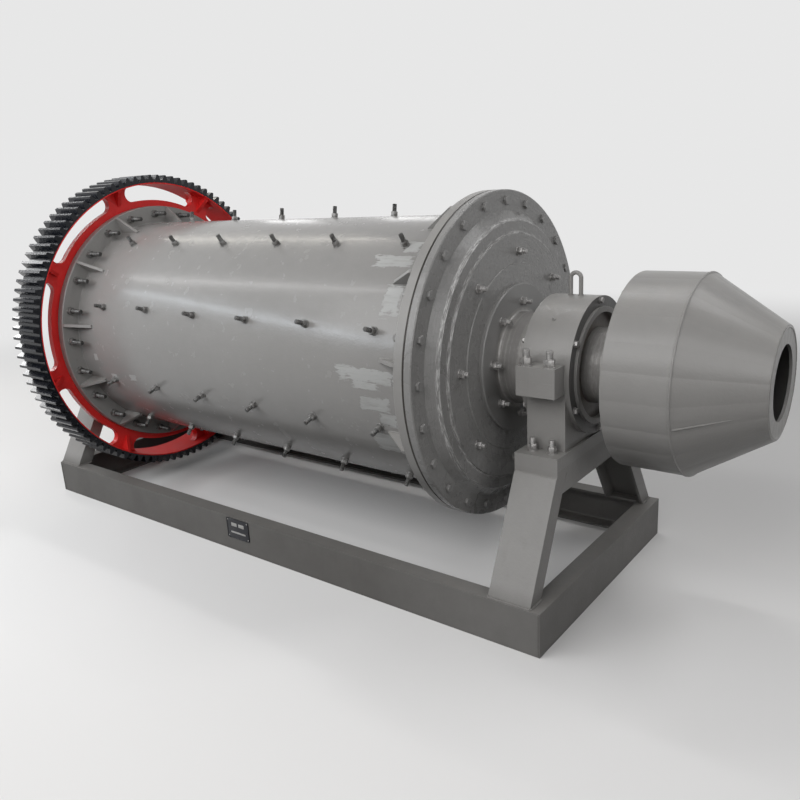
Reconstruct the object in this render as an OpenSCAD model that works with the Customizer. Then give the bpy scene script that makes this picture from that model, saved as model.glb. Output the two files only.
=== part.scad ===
// Small ball mill on a welded channel base frame.
// X runs along the mill axis with the feeder at +X, Z is up, and the floor is z = 0.
// Lengths along the mill are counted from the outer face of the feed head's rim.

/* [Shell] */
// Outer radius of the shell
shell_radius = 462; // [455:1:470]
// Thickness of the shell plate
shell_thickness = 12; // [8:1:16]
// Length of the shell between its two end faces
shell_length = 1830; // [1700:10:2000]

/* [Flanges] */
// Height of a shell flange above the shell
flange_height = 74; // [70:1:80]
// Thickness of a shell flange
flange_thickness = 36; // [24:1:40]
// Height of the circle of rim bolts above the shell
rim_bolt_height = 40; // [36:1:44]
// Number of rim bolts
rim_bolts = 24; // [12:12:24]
// Diameter of a rim bolt hole
rim_bolt_hole_diameter = 22; // [16:1:24]
// Angle of the feed end's first rim bolt above the horizontal
inlet_bolt_phase = 13; // [10:0.5:15]
// Angle of the discharge end's first rim bolt above the horizontal
discharge_bolt_phase = 14.5; // [10:0.5:15]
// Angle of the first flange gusset above the horizontal
gusset_phase = 21.5; // [19:0.5:23]
// Length of a flange gusset along the shell
gusset_length = 105; // [80:5:120]
// Thickness of a flange gusset
gusset_thickness = 12; // [8:1:16]

/* [Heads] */
// Thickness of a head's rim
head_rim_thickness = 28; // [24:1:32]
// Width of the flat rim outside the raised face
head_rim_width = 66; // [60:1:70]
// Width of the slope that leads up to the raised face
head_slope_width = 28; // [24:1:32]
// Width of the ledge between the slope and the outer step
head_ledge_width = 42; // [36:1:46]
// Width of the ring between the outer and the inner step
head_step_width = 93; // [86:1:96]
// Thickness of the raised face
head_plate_thickness = 32; // [26:1:36]

/* [Trunnions] */
// Bore radius of a trunnion
trunnion_bore_radius = 92; // [80:1:96]
// Radius of a trunnion's mounting flange
trunnion_flange_radius = 242; // [235:1:250]
// Radius of the neck between head and bearing
neck_radius = 150; // [146:1:155]
// Radius of the journal that runs in the bush
journal_radius = 140; // [135:1:142]
// Radius of the hub beyond the bearing
hub_radius = 117.5; // [112:0.5:120]
// Running clearance round a journal
journal_clearance = 0.05; // [0.02:0.01:0.1]
// Length of the discharge spout, from the bearing's centre
spout_length = 190; // [150:5:220]

/* [Girth gear] */
// Tooth module
gear_module = 12.7; // [12.2:0.1:12.9]
// Height of the pitch circle above the shell, met to the nearest pair of teeth
gear_pitch_height = 198.4; // [192:0.1:204]
// Face width of the toothed rim
gear_face_width = 170; // [160:5:175]
// Thickness of the rim under the teeth
gear_rim_thickness = 12.5; // [10:0.5:16]
// Width by which the toothed rim stands in front of the wheel plate
gear_overhang_width = 52; // [46:1:56]
// Number of spokes
gear_spokes = 8; // [6:1:8]
// Width of a spoke at its waist
spoke_waist_width = 94; // [80:1:110]
// Angle of the first spoke above the horizontal
spoke_phase = 15; // [0:1:22]
// Thickness of the rib along the middle of a spoke
spoke_rib_thickness = 16; // [12:1:20]
// Thickness of the gear's wheel plate
wheel_plate_thickness = 30; // [24:1:36]
// Height of the wheel plate's inner ring above the flange
wheel_ring_height = 28; // [22:1:32]

/* [Feeder] */
// Radius of the feeder drum
feeder_radius = 289.5; // [280:0.5:295]
// Distance from the bearing housing to the feeder's back
feeder_distance = 141; // [134:1:148]
// Length of the feeder's round part
feeder_length = 185; // [170:1:190]
// Length of the feeder's cone
feeder_cone_length = 205; // [190:1:215]
// Outer radius of the cone's small end
feeder_mouth_radius = 157.5; // [150:0.5:160]
// Radius of the feed opening
inlet_opening_radius = 105.5; // [95:0.5:110]
// Thickness of the feeder's plates
feeder_plate_thickness = 8; // [6:1:10]

/* [Bearings] */
// Distance from the feed head's rim to the feed bearing's centre
inlet_housing_distance = 249; // [242:1:256]
// Distance from the discharge head's rim to the discharge bearing's centre
discharge_housing_distance = 169; // [165:1:175]
// Height of a bearing's centre above its seat
housing_centre_height = 264; // [256:1:272]
// Width of a bearing housing along the axis
housing_width = 124; // [114:1:130]
// Outer radius of a bearing cap
cap_radius = 213; // [208:1:218]
// Bore radius of a housing, which holds the bush
housing_bore_radius = 165; // [160:1:172]
// Width of a bearing pedestal across the mill
pedestal_width = 406; // [396:2:414]
// Thickness of a bearing's foot flange
foot_flange_thickness = 40; // [30:1:45]
// Thickness of a bearing cover
cover_thickness = 16; // [12:1:18]
// Height of one clamping lug
lug_height = 44; // [38:1:50]
// Width of a housing across its clamping lugs
housing_span_width = 544; // [530:2:560]

/* [Base frame] */
// Clearance between the girth gear and the floor
gear_floor_clearance = 79.9; // [72:0.1:130]
// Width of the base frame
base_width = 951; // [930:1:970]
// Distance from the feed bearing's centre to the feed end of the frame
inlet_end_distance = 116; // [106:1:124]
// Distance from the discharge bearing's centre to the discharge end of the frame
discharge_end_distance = 70; // [68:1:80]
// Depth of the channel section
channel_depth = 140; // [130:1:150]
// Flange width of the channel section
channel_flange_width = 58; // [50:1:62]
// Web thickness of the channel section
channel_web_thickness = 6; // [5:1:8]
// Flange thickness of the channel section
channel_flange_thickness = 9.5; // [8:0.5:11]
// Radius of the channel section's inner corners
channel_corner_radius = 8; // [5:0.5:9]
// Distance from a rail's outer face to the foot of a leg
leg_foot_distance = 11; // [6:0.5:20]
// Distance by which the feed legs stand further out at the foot than at the top
inlet_leg_lean = 12; // [0:1:16]
// Thickness of a seat beam's top plate
seat_plate_thickness = 20; // [12:1:24]
// Depth of a seat beam's skirts
seat_skirt_depth = 58; // [50:1:70]

/* [Hidden] */
$fn = 96;

paint_grey = [0.55, 0.54, 0.52];
head_grey = [0.50, 0.49, 0.48];
gear_black = [0.08, 0.08, 0.10];
gear_red = [0.72, 0.12, 0.12];
bush_bronze = [0.60, 0.45, 0.25];

// Small sizes that several pieces share
cut = 1;
edge_chamfer = 3;

// Shell, flange and head radii
shell_bore = shell_radius - shell_thickness;
flange_radius = shell_radius + flange_height;
rim_bolt_circle = shell_radius + rim_bolt_height;
head_foot_radius = flange_radius - head_rim_width;
head_ridge_radius = head_foot_radius - head_slope_width;
head_outer_step = head_ridge_radius - head_ledge_width;
head_inner_step = head_outer_step - head_step_width;

// Heights of a head's steps above its rim face
ridge_rise = 26;
ridge_lip = 4;
outer_rise = 33;
step_rise = 7;
step_draft = 2;
inner_rise = outer_rise + step_rise;
hub_step = 3;
hub_rise = inner_rise + hub_step;
flange_disc = 14;
flange_face = hub_rise + flange_disc;
neck_fillet = 8;

// Gusset outline
gusset_inset = 2;
gusset_height = flange_height - gusset_inset;
gusset_land = 8;
gusset_tip = 6;
gusset_root = shell_thickness / 3;

// Gear sizes
gear_teeth = 2 * round((shell_radius + gear_pitch_height) / gear_module);
gear_pitch = gear_module * gear_teeth / 2;
gear_tip = gear_pitch + gear_module;
gear_root = gear_pitch - 1.1 * gear_module;
gear_bore = gear_root - gear_rim_thickness;
flank_step = 0.4 * gear_module;
pressure_angle = 20;
wheel_ring_radius = flange_radius + wheel_ring_height;
window_mid = (gear_bore + wheel_ring_radius) / 2;
window_end = (gear_bore - wheel_ring_radius) / 2;
window_half_angle = 180 / gear_spokes
    - asin((spoke_waist_width / 2 + window_end) / window_mid);
rib_inset = 8;
front_rib_height = gear_overhang_width - rib_inset;
back_rib_height = gear_face_width - gear_overhang_width - wheel_plate_thickness - rib_inset;

// Places along the mill, counted from the feed head's rim
housing_half = housing_width / 2;
shell_feed_end = -head_rim_thickness;
shell_discharge_end = shell_feed_end - shell_length;
discharge_rim = shell_discharge_end - wheel_plate_thickness - head_rim_thickness;
gear_back = shell_discharge_end + gear_overhang_width - gear_face_width;
feed_bearing = inlet_housing_distance;
discharge_bearing = discharge_rim - discharge_housing_distance;
frame_feed_end = feed_bearing + inlet_end_distance;
frame_discharge_end = discharge_bearing - discharge_end_distance;
feeder_start = feed_bearing + housing_half + feeder_distance;
cone_start = feeder_start + feeder_length;
mouth_end = cone_start + feeder_cone_length;
spout_end = discharge_bearing - spout_length;
mill_shift = -(mouth_end + spout_end) / 2;

// Heights above the floor
axis_height = gear_tip + gear_floor_clearance;
seat_height = axis_height - housing_centre_height;
leg_top_z = seat_height - seat_plate_thickness;
leg_bottom_z = channel_depth;

// Bearing sizes
bush_shoulder = 3;
cover_gap = 1;
lug_gap = 0.2;
lug_reach = housing_span_width / 2;
pedestal_half = pedestal_width / 2;
foot_inset = 2;
foot_half = lug_reach - foot_inset;
foot_depth = channel_depth;
cover_rim = 32;
seal_width = 17;
seal_outer = cap_radius - cover_rim;
seal_inner = seal_outer - seal_width;
seal_rise = 9;
eye_bend = 16.5;
eye_wire = 6.5;
eye_straight = 50;
eye_pad = 2;
eye_pad_radius = 9;

// Leg sizes
leg_foot = base_width / 2 - leg_foot_distance;
leg_top_step = 3;
leg_top = foot_half + leg_top_step;
leg_rise = leg_top_z - leg_bottom_z;
leg_slope = atan((leg_foot - leg_top) / leg_rise);

// Puts a piece on the mill axis: its x becomes +Y, its y becomes +Z, its z becomes +X
module on_axis(along) {
    translate([mill_shift + along, 0, axis_height])
        rotate([90, 0, 90])
            children();
}

// The same for the discharge end, where a piece points to -X
module on_axis_back(along) {
    on_axis(along)
        mirror([0, 0, 1])
            children();
}

// Round ring between two radii
module ring(outer, inner, thickness) {
    difference() {
        cylinder(r = outer, h = thickness);
        translate([0, 0, -cut])
            cylinder(r = inner, h = thickness + 2 * cut);
    }
}

// Repeats a piece round the axis
module around(count, phase) {
    for (i = [0 : count - 1]) {
        rotate([0, 0, phase + i * 360 / count])
            children();
    }
}

module rim_holes(depth, phase) {
    around(rim_bolts, phase)
        translate([rim_bolt_circle, 0, -cut])
            cylinder(d = rim_bolt_hole_diameter, h = depth + 2 * cut);
}

// Base frame

// Channel with its web along y = 0 .. depth and round inner corners
module channel_section() {
    inside_x = channel_web_thickness + channel_corner_radius;
    inside_y = channel_flange_thickness + channel_corner_radius;
    difference() {
        square([channel_flange_width, channel_depth]);
        translate([inside_x, channel_flange_thickness])
            square([channel_flange_width, channel_depth - 2 * channel_flange_thickness]);
        translate([channel_web_thickness, inside_y])
            square([channel_flange_width, channel_depth - 2 * inside_y]);
        for (y = [inside_y, channel_depth - inside_y]) {
            translate([inside_x, y])
                circle(r = channel_corner_radius, $fn = 48);
        }
    }
}

module base_rail() {
    start = frame_discharge_end + channel_web_thickness;
    translate([mill_shift + start, -base_width / 2, 0])
        rotate([90, 0, 90])
            linear_extrude(height = frame_feed_end - channel_web_thickness - start)
                channel_section();
}

module base_rail_near() {
    color(paint_grey)
        base_rail();
}

module base_rail_far() {
    color(paint_grey)
        mirror([0, 1, 0])
            base_rail();
}

// End member: its web closes the ends of both rails, its flanges fit between theirs
module base_end() {
    between = base_width - 2 * channel_flange_width;
    translate([-channel_web_thickness, -base_width / 2, 0])
        cube([channel_web_thickness, base_width, channel_depth]);
    mirror([1, 0, 0])
        translate([0, between / 2, 0])
            rotate([90, 0, 0])
                linear_extrude(height = between)
                    channel_section();
}

module base_end_feed() {
    color(paint_grey)
        translate([mill_shift + frame_feed_end, 0, 0])
            base_end();
}

module base_end_discharge() {
    color(paint_grey)
        translate([mill_shift + frame_discharge_end, 0, 0])
            mirror([1, 0, 0])
                base_end();
}

// Leaning channel with its web outside, cut level at the rail and under the seat
module leg(along, lean) {
    lean_angle = atan(lean / leg_rise);
    leaning_rise = leg_rise / cos(lean_angle);
    slope = atan((leg_foot - leg_top) / leaning_rise);
    spare = channel_flange_width * tan(slope) + channel_depth * tan(lean_angle);
    translate([mill_shift + along - channel_depth / 2, 0, 0])
        intersection() {
            translate([-channel_depth, -base_width / 2, leg_bottom_z])
                cube([3 * channel_depth, base_width / 2, leg_rise]);
            translate([lean, -leg_foot, leg_bottom_z])
                rotate([-slope, -lean_angle, 0])
                    translate([0, 0, -spare])
                        linear_extrude(height = leaning_rise / cos(slope) + 2 * spare)
                            mirror([1, -1])
                                channel_section();
        }
}

module feed_leg_near() {
    color(paint_grey)
        leg(feed_bearing, inlet_leg_lean);
}

module feed_leg_far() {
    color(paint_grey)
        mirror([0, 1, 0])
            leg(feed_bearing, inlet_leg_lean);
}

module discharge_leg_near() {
    color(paint_grey)
        leg(discharge_bearing, 0);
}

module discharge_leg_far() {
    color(paint_grey)
        mirror([0, 1, 0])
            leg(discharge_bearing, 0);
}

// Cross beam between two leg tops: a plate with skirts cut to the slope of the legs
module seat_beam(along) {
    skirt_top = leg_top - channel_flange_width / cos(leg_slope);
    skirt_bottom = skirt_top + seat_skirt_depth * tan(leg_slope);
    translate([mill_shift + along - channel_depth / 2, 0, 0]) {
        translate([0, -foot_half, leg_top_z])
            cube([channel_depth, 2 * foot_half, seat_plate_thickness]);
        for (x = [0, channel_depth - channel_flange_thickness]) {
            translate([x, 0, 0])
                rotate([90, 0, 90])
                    linear_extrude(height = channel_flange_thickness)
                        polygon([
                            [-skirt_top, seat_height - cut],
                            [-skirt_top, leg_top_z],
                            [-skirt_bottom, leg_top_z - seat_skirt_depth],
                            [skirt_bottom, leg_top_z - seat_skirt_depth],
                            [skirt_top, leg_top_z],
                            [skirt_top, seat_height - cut]
                        ]);
        }
    }
}

module feed_seat_beam() {
    color(paint_grey)
        seat_beam(feed_bearing);
}

module discharge_seat_beam() {
    color(paint_grey)
        seat_beam(discharge_bearing);
}

// Bearings

module housing_bore_cut() {
    translate([0, 0, -foot_depth])
        cylinder(r = housing_bore_radius, h = 2 * foot_depth);
}

// Lower housing: foot flange, pedestal and the two lower lugs
module bearing_base(along) {
    floor_y = -housing_centre_height;
    pedestal_y = floor_y + foot_flange_thickness;
    on_axis(along)
        difference() {
            union() {
                translate([-foot_half, floor_y, -foot_depth / 2])
                    cube([2 * foot_half, foot_flange_thickness, foot_depth]);
                translate([-pedestal_half, pedestal_y - cut, -housing_half])
                    cube([pedestal_width, cut - pedestal_y - lug_gap / 2, housing_width]);
                translate([-lug_reach, -lug_height - lug_gap / 2, -housing_half])
                    cube([housing_span_width, lug_height, housing_width]);
            }
            housing_bore_cut();
        }
}

// Upper housing: half drum, the two upper lugs and the eye's two pads
module bearing_cap(along) {
    on_axis(along)
        difference() {
            union() {
                translate([0, 0, -housing_half])
                    cylinder(r = cap_radius, h = housing_width);
                translate([-lug_reach, lug_gap / 2, -housing_half])
                    cube([housing_span_width, lug_height, housing_width]);
                for (side = [-1, 1]) {
                    translate([0, 0, side * eye_bend])
                        rotate([-90, 0, 0])
                            cylinder(r = eye_pad_radius, h = cap_radius + eye_pad);
                }
            }
            housing_bore_cut();
            translate([-lug_reach - cut, lug_gap / 2 - cap_radius - cut, -housing_half - cut])
                cube([housing_span_width + 2 * cut, cap_radius + cut, housing_width + 2 * cut]);
        }
}

// Bronze sleeve that carries the journal
module bush(along) {
    half = housing_half - bush_shoulder;
    on_axis(along)
        translate([0, 0, -half])
            ring(housing_bore_radius, journal_radius + journal_clearance, 2 * half);
}

// Cover plate with a raised seal ring, drawn from the housing's face outwards
module cover(shaft) {
    shaft_hole = shaft + cover_gap;
    rotate_extrude()
        polygon([
            [shaft_hole, 0],
            [cap_radius, 0],
            [cap_radius, cover_thickness],
            [seal_outer, cover_thickness],
            [seal_outer, cover_thickness + seal_rise],
            [seal_inner, cover_thickness + seal_rise],
            [seal_inner, cover_thickness / 2],
            [shaft_hole, cover_thickness / 2]
        ]);
}

// Bent rod that stands with both ends on the cap's pads
module lifting_eye(along) {
    reach = eye_bend + eye_wire + cut;
    translate([mill_shift + along, 0, axis_height + cap_radius + eye_pad]) {
        for (side = [-1, 1]) {
            translate([side * eye_bend, 0, 0])
                cylinder(r = eye_wire, h = eye_straight, $fn = 32);
        }
        translate([0, 0, eye_straight])
            intersection() {
                rotate([90, 0, 0])
                    rotate_extrude()
                        translate([eye_bend, 0])
                            circle(r = eye_wire, $fn = 32);
                translate([-reach, -reach, 0])
                    cube([2 * reach, 2 * reach, reach]);
            }
    }
}

module feed_bearing_base() {
    color(paint_grey)
        bearing_base(feed_bearing);
}

module feed_bearing_cap() {
    color(paint_grey)
        bearing_cap(feed_bearing);
}

module feed_bush() {
    color(bush_bronze)
        bush(feed_bearing);
}

module feed_cover_inner() {
    color(head_grey)
        on_axis_back(feed_bearing - housing_half)
            cover(neck_radius);
}

module feed_cover_outer() {
    color(head_grey)
        on_axis(feed_bearing + housing_half)
            cover(hub_radius);
}

module feed_lifting_eye() {
    color(paint_grey)
        lifting_eye(feed_bearing);
}

module discharge_bearing_base() {
    color(paint_grey)
        bearing_base(discharge_bearing);
}

module discharge_bearing_cap() {
    color(paint_grey)
        bearing_cap(discharge_bearing);
}

module discharge_bush() {
    color(bush_bronze)
        bush(discharge_bearing);
}

module discharge_cover_inner() {
    color(head_grey)
        on_axis(discharge_bearing + housing_half)
            cover(neck_radius);
}

module discharge_cover_outer() {
    color(head_grey)
        on_axis_back(discharge_bearing - housing_half)
            cover(hub_radius);
}

module discharge_lifting_eye() {
    color(paint_grey)
        lifting_eye(discharge_bearing);
}

// Drum

module shell() {
    color(paint_grey)
        on_axis(shell_discharge_end)
            ring(shell_radius, shell_bore, shell_length);
}

// Flange with broken outer edges
module shell_flange(phase) {
    difference() {
        rotate_extrude()
            polygon([
                [shell_radius, 0],
                [flange_radius - edge_chamfer, 0],
                [flange_radius, edge_chamfer],
                [flange_radius, flange_thickness - edge_chamfer],
                [flange_radius - edge_chamfer, flange_thickness],
                [shell_radius, flange_thickness]
            ]);
        rim_holes(flange_thickness, phase);
    }
}

module feed_flange() {
    color(paint_grey)
        on_axis(shell_feed_end - flange_thickness)
            shell_flange(inlet_bolt_phase);
}

module discharge_flange() {
    color(paint_grey)
        on_axis(shell_discharge_end)
            shell_flange(discharge_bolt_phase);
}

// Triangular ribs that stand between every second pair of rim bolts
module gussets() {
    around(rim_bolts / 2, gusset_phase)
        translate([shell_radius, gusset_thickness / 2, 0])
            rotate([90, 0, 0])
                linear_extrude(height = gusset_thickness)
                    polygon([
                        [-gusset_root, 0],
                        [gusset_height, 0],
                        [gusset_height, gusset_land],
                        [gusset_tip, gusset_length],
                        [-gusset_root, gusset_length]
                    ]);
}

module feed_gussets() {
    color(paint_grey)
        difference() {
            on_axis_back(shell_feed_end - flange_thickness)
                gussets();
            shell_body_cut();
        }
}

module discharge_gussets() {
    color(paint_grey)
        difference() {
            on_axis(shell_discharge_end + flange_thickness)
                gussets();
            shell_body_cut();
        }
}

module shell_body_cut() {
    on_axis(shell_discharge_end)
        cylinder(r = shell_radius, h = shell_length);
}

// Cast end plate with a sloped shoulder and two steps, drawn from its rim face outwards
module head(phase) {
    difference() {
        rotate_extrude()
            polygon([
                [trunnion_bore_radius, hub_rise - head_plate_thickness],
                [head_outer_step, outer_rise - head_plate_thickness],
                [head_ridge_radius, ridge_rise - head_plate_thickness],
                [shell_bore, -head_rim_thickness],
                [flange_radius - edge_chamfer, -head_rim_thickness],
                [flange_radius, edge_chamfer - head_rim_thickness],
                [flange_radius, -edge_chamfer],
                [flange_radius - edge_chamfer, 0],
                [head_foot_radius, 0],
                [head_ridge_radius, ridge_rise],
                [head_ridge_radius - ridge_lip, outer_rise],
                [head_outer_step, outer_rise],
                [head_outer_step - step_draft, inner_rise],
                [head_inner_step, inner_rise],
                [head_inner_step - step_draft, hub_rise],
                [trunnion_bore_radius, hub_rise]
            ]);
        translate([0, 0, -head_rim_thickness])
            rim_holes(head_rim_thickness, phase);
    }
}

module feed_head() {
    color(head_grey)
        on_axis(0)
            head(inlet_bolt_phase);
}

module discharge_head() {
    color(head_grey)
        on_axis_back(discharge_rim)
            head(discharge_bolt_phase);
}

// Hollow stepped shaft: mounting flange, neck, journal and hub, drawn from the head outwards
module trunnion(shoulder, journal_end, hub_end) {
    rotate_extrude()
        difference() {
            polygon([
                [trunnion_bore_radius, hub_rise],
                [trunnion_flange_radius, hub_rise],
                [trunnion_flange_radius, flange_face - edge_chamfer],
                [trunnion_flange_radius - edge_chamfer, flange_face],
                [neck_radius + neck_fillet, flange_face],
                [neck_radius + neck_fillet, flange_face + neck_fillet],
                [neck_radius, flange_face + neck_fillet],
                [neck_radius, shoulder],
                [journal_radius, shoulder],
                [journal_radius, journal_end],
                [hub_radius, journal_end],
                [hub_radius, hub_end],
                [trunnion_bore_radius, hub_end]
            ]);
            translate([neck_radius + neck_fillet, flange_face + neck_fillet])
                circle(r = neck_fillet, $fn = 48);
        }
}

module feed_trunnion() {
    color(head_grey)
        on_axis(0)
            trunnion(
                feed_bearing - housing_half,
                feed_bearing + housing_half - cover_gap,
                feeder_start
            );
}

module discharge_trunnion() {
    color(head_grey)
        on_axis_back(discharge_rim)
            trunnion(
                discharge_housing_distance - housing_half,
                discharge_housing_distance + housing_half - cover_gap,
                discharge_housing_distance + spout_length
            );
}

// Girth gear

// Angle by which an involute from the base circle has turned at a radius
function involute(r) =
    let (ratio = gear_pitch * cos(pressure_angle) / r, a = acos(min(1, ratio)))
    tan(a) * 180 / PI - a;

// Half of the angle that a tooth fills at a radius
function half_tooth(r) = 90 / gear_teeth + involute(gear_pitch) - involute(r);

function polar(r, a) = [r * cos(a), r * sin(a)];

// Up one involute flank and down the other
function tooth(centre) = [
    for (r = [gear_root, gear_pitch - flank_step, gear_pitch + flank_step, gear_tip])
        polar(r, centre - half_tooth(r)),
    for (r = [gear_tip, gear_pitch + flank_step, gear_pitch - flank_step, gear_root])
        polar(r, centre + half_tooth(r))
];

module gear_rim() {
    color(gear_black)
        on_axis(gear_back)
            difference() {
                linear_extrude(height = gear_face_width)
                    polygon([
                        for (i = [0 : gear_teeth - 1])
                            each tooth(i * 360 / gear_teeth)
                    ]);
                translate([0, 0, -cut])
                    cylinder(r = gear_bore, h = gear_face_width + 2 * cut);
            }
}

// One window between two spokes: a curved slot with round ends
module wheel_window() {
    reach = 2 * gear_tip;
    intersection() {
        difference() {
            circle(r = gear_bore + cut);
            circle(r = wheel_ring_radius);
        }
        polygon([
            [0, 0],
            polar(reach, -window_half_angle),
            polar(reach, 0),
            polar(reach, window_half_angle)
        ]);
    }
    for (side = [-1, 1]) {
        translate(polar(window_mid, side * window_half_angle))
            circle(r = window_end);
    }
}

// Flat plate with its windows, before ribs and bolt holes
module wheel_disc() {
    linear_extrude(height = wheel_plate_thickness)
        difference() {
            circle(r = gear_bore);
            circle(r = shell_bore);
            for (i = [0 : gear_spokes - 1]) {
                rotate(spoke_phase + (i + 0.5) * 360 / gear_spokes)
                    wheel_window();
            }
        }
}

// Tapered rib along each spoke, which stiffens the toothed rim's overhang
module spoke_ribs(height) {
    around(gear_spokes, spoke_phase)
        translate([0, spoke_rib_thickness / 2, 0])
            rotate([90, 0, 0])
                linear_extrude(height = spoke_rib_thickness)
                    polygon([
                        [wheel_ring_radius, 0],
                        [gear_bore + cut, 0],
                        [gear_bore + cut, height],
                        [gear_bore - rib_inset, height]
                    ]);
}

// Wheel plate: inner ring clamped by the rim bolts, windows and ribbed spokes
module gear_wheel() {
    color(gear_red)
        on_axis(shell_discharge_end - wheel_plate_thickness)
            difference() {
                intersection() {
                    union() {
                        wheel_disc();
                        translate([0, 0, wheel_plate_thickness])
                            spoke_ribs(front_rib_height);
                        mirror([0, 0, 1])
                            spoke_ribs(back_rib_height);
                    }
                    translate([0, 0, -back_rib_height - cut])
                        cylinder(r = gear_bore, h = gear_face_width);
                }
                rim_holes(wheel_plate_thickness, discharge_bolt_phase);
            }
}

// Feeder

module feeder_back() {
    color(paint_grey)
        on_axis(feeder_start)
            ring(
                feeder_radius - feeder_plate_thickness,
                trunnion_bore_radius,
                feeder_plate_thickness
            );
}

module feeder_drum() {
    color(paint_grey)
        on_axis(feeder_start)
            ring(feeder_radius, feeder_radius - feeder_plate_thickness, feeder_length);
}

module feeder_cone() {
    color(paint_grey)
        on_axis(cone_start)
            rotate_extrude()
                polygon([
                    [feeder_radius - feeder_plate_thickness, 0],
                    [feeder_radius, 0],
                    [feeder_mouth_radius, feeder_cone_length],
                    [feeder_mouth_radius - feeder_plate_thickness, feeder_cone_length]
                ]);
}

module feeder_mouth() {
    color(paint_grey)
        on_axis(mouth_end - feeder_plate_thickness)
            ring(
                feeder_mouth_radius - feeder_plate_thickness,
                inlet_opening_radius,
                feeder_plate_thickness
            );
}

module spout_ring() {
    color(paint_grey)
        on_axis(spout_end)
            ring(neck_radius, hub_radius, 1.5 * feeder_plate_thickness);
}

base_rail_near();
base_rail_far();
base_end_feed();
base_end_discharge();
feed_leg_near();
feed_leg_far();
discharge_leg_near();
discharge_leg_far();
feed_seat_beam();
discharge_seat_beam();
feed_bearing_base();
feed_bearing_cap();
feed_bush();
feed_cover_inner();
feed_cover_outer();
feed_lifting_eye();
discharge_bearing_base();
discharge_bearing_cap();
discharge_bush();
discharge_cover_inner();
discharge_cover_outer();
discharge_lifting_eye();
shell();
feed_flange();
discharge_flange();
feed_gussets();
discharge_gussets();
feed_head();
discharge_head();
feed_trunnion();
discharge_trunnion();
gear_rim();
gear_wheel();
feeder_back();
feeder_drum();
feeder_cone();
feeder_mouth();
spout_ring();
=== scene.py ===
import math
import random

import bpy
from mathutils import Matrix, Vector


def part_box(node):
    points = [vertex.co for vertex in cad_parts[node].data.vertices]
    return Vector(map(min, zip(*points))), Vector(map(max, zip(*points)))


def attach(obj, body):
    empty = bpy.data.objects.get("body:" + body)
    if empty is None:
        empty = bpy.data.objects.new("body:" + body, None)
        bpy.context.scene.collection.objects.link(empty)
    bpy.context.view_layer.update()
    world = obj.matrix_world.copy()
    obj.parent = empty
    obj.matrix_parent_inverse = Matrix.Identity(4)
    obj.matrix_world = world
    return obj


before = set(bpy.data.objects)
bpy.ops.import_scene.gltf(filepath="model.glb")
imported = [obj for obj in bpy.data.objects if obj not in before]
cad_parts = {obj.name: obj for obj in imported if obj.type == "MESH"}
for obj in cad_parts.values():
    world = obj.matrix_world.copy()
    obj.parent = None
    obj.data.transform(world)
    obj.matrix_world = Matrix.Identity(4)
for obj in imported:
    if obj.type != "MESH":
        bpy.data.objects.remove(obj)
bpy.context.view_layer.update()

bl_info = {
    "name": "Ball mill",
    "version": (1, 0, 0),
    "blender": (4, 5, 0),
    "location": "View3D > Sidebar > Ball mill",
    "description": "Fastenings, weld seams, plate, finishes and stage of a small ball mill",
    "category": "Object",
}

# Places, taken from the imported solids
AXIS_Z = sum(corner.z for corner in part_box("shell")) / 2
SHELL_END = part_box("shell")[1].x
HEAD_RIM = 0.028
FEED_RIM = SHELL_END + HEAD_RIM
FEED_BEARING = sum(corner.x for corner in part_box("feed_bearing_cap")) / 2
DISCHARGE_BEARING = sum(corner.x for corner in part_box("discharge_bearing_cap")) / 2
SHELL_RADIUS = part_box("shell")[1].z - AXIS_Z
FLANGE_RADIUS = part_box("feed_flange")[1].z - AXIS_Z
FEED_FLANGE_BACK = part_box("feed_flange")[0].x
DISCHARGE_FLANGE_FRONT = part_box("discharge_flange")[1].x
WHEEL_PLATE = 0.030
DISCHARGE_HEAD_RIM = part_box("discharge_flange")[0].x - WHEEL_PLATE - HEAD_RIM
TRUNNION_FACE = 0.057
INNER_STEP_FACE = 0.040
COVER_THICKNESS = 0.016
LUG_HEIGHT = 0.0441
FOOT_THICKNESS = 0.040
SEAT_THICKNESS = 0.020
CAP_RADIUS = 0.213
HUB_RADIUS = 0.1185
MOUTH_RADIUS = 0.1575
LEG_FOOT_DEPTH = 0.0671
GUSSET_LENGTH = 0.106
GUSSET_HALF_THICKNESS = 0.0065

# Bolt circles: number, radius and the first one's angle in degrees
RIM_BOLTS = {"feed": (24, 0.502, 13.0), "discharge": (24, 0.502, 14.5)}
HEAD_STUDS = (8, 0.343, 41.5)
TRUNNION_STUDS = (8, 0.184, 41.0)
COVER_BOLTS = (6, 0.2005, 30.0)
GUSSETS = (12, SHELL_RADIUS, 21.5)
LINER_ROWS = (15.0, 48.0, 81.5, 122.9, 160.7, 199.6, 230.9, 267.0, 303.0, 339.0)
LINER_COLUMNS, LINER_FIRST, LINER_PITCH = 6, -0.201, -0.2868

# Radius of the head's corners, where pale streaks are painted in as highlights on the glossy enamel
HEAD_CORNERS = (FLANGE_RADIUS - 0.0945, FLANGE_RADIUS - 0.1335)

SURFACE = "ShaderNodeBsdfPrincipled"


# Sizes and colours that a user would change


def length(name, default, description, **limits):
    return bpy.props.FloatProperty(
        name=name, description=description, default=default, unit="LENGTH", **limits
    )


def colour(name, default, description):
    return bpy.props.FloatVectorProperty(
        name=name, description=description, default=default, size=3, min=0, max=1, subtype="COLOR"
    )


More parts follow.
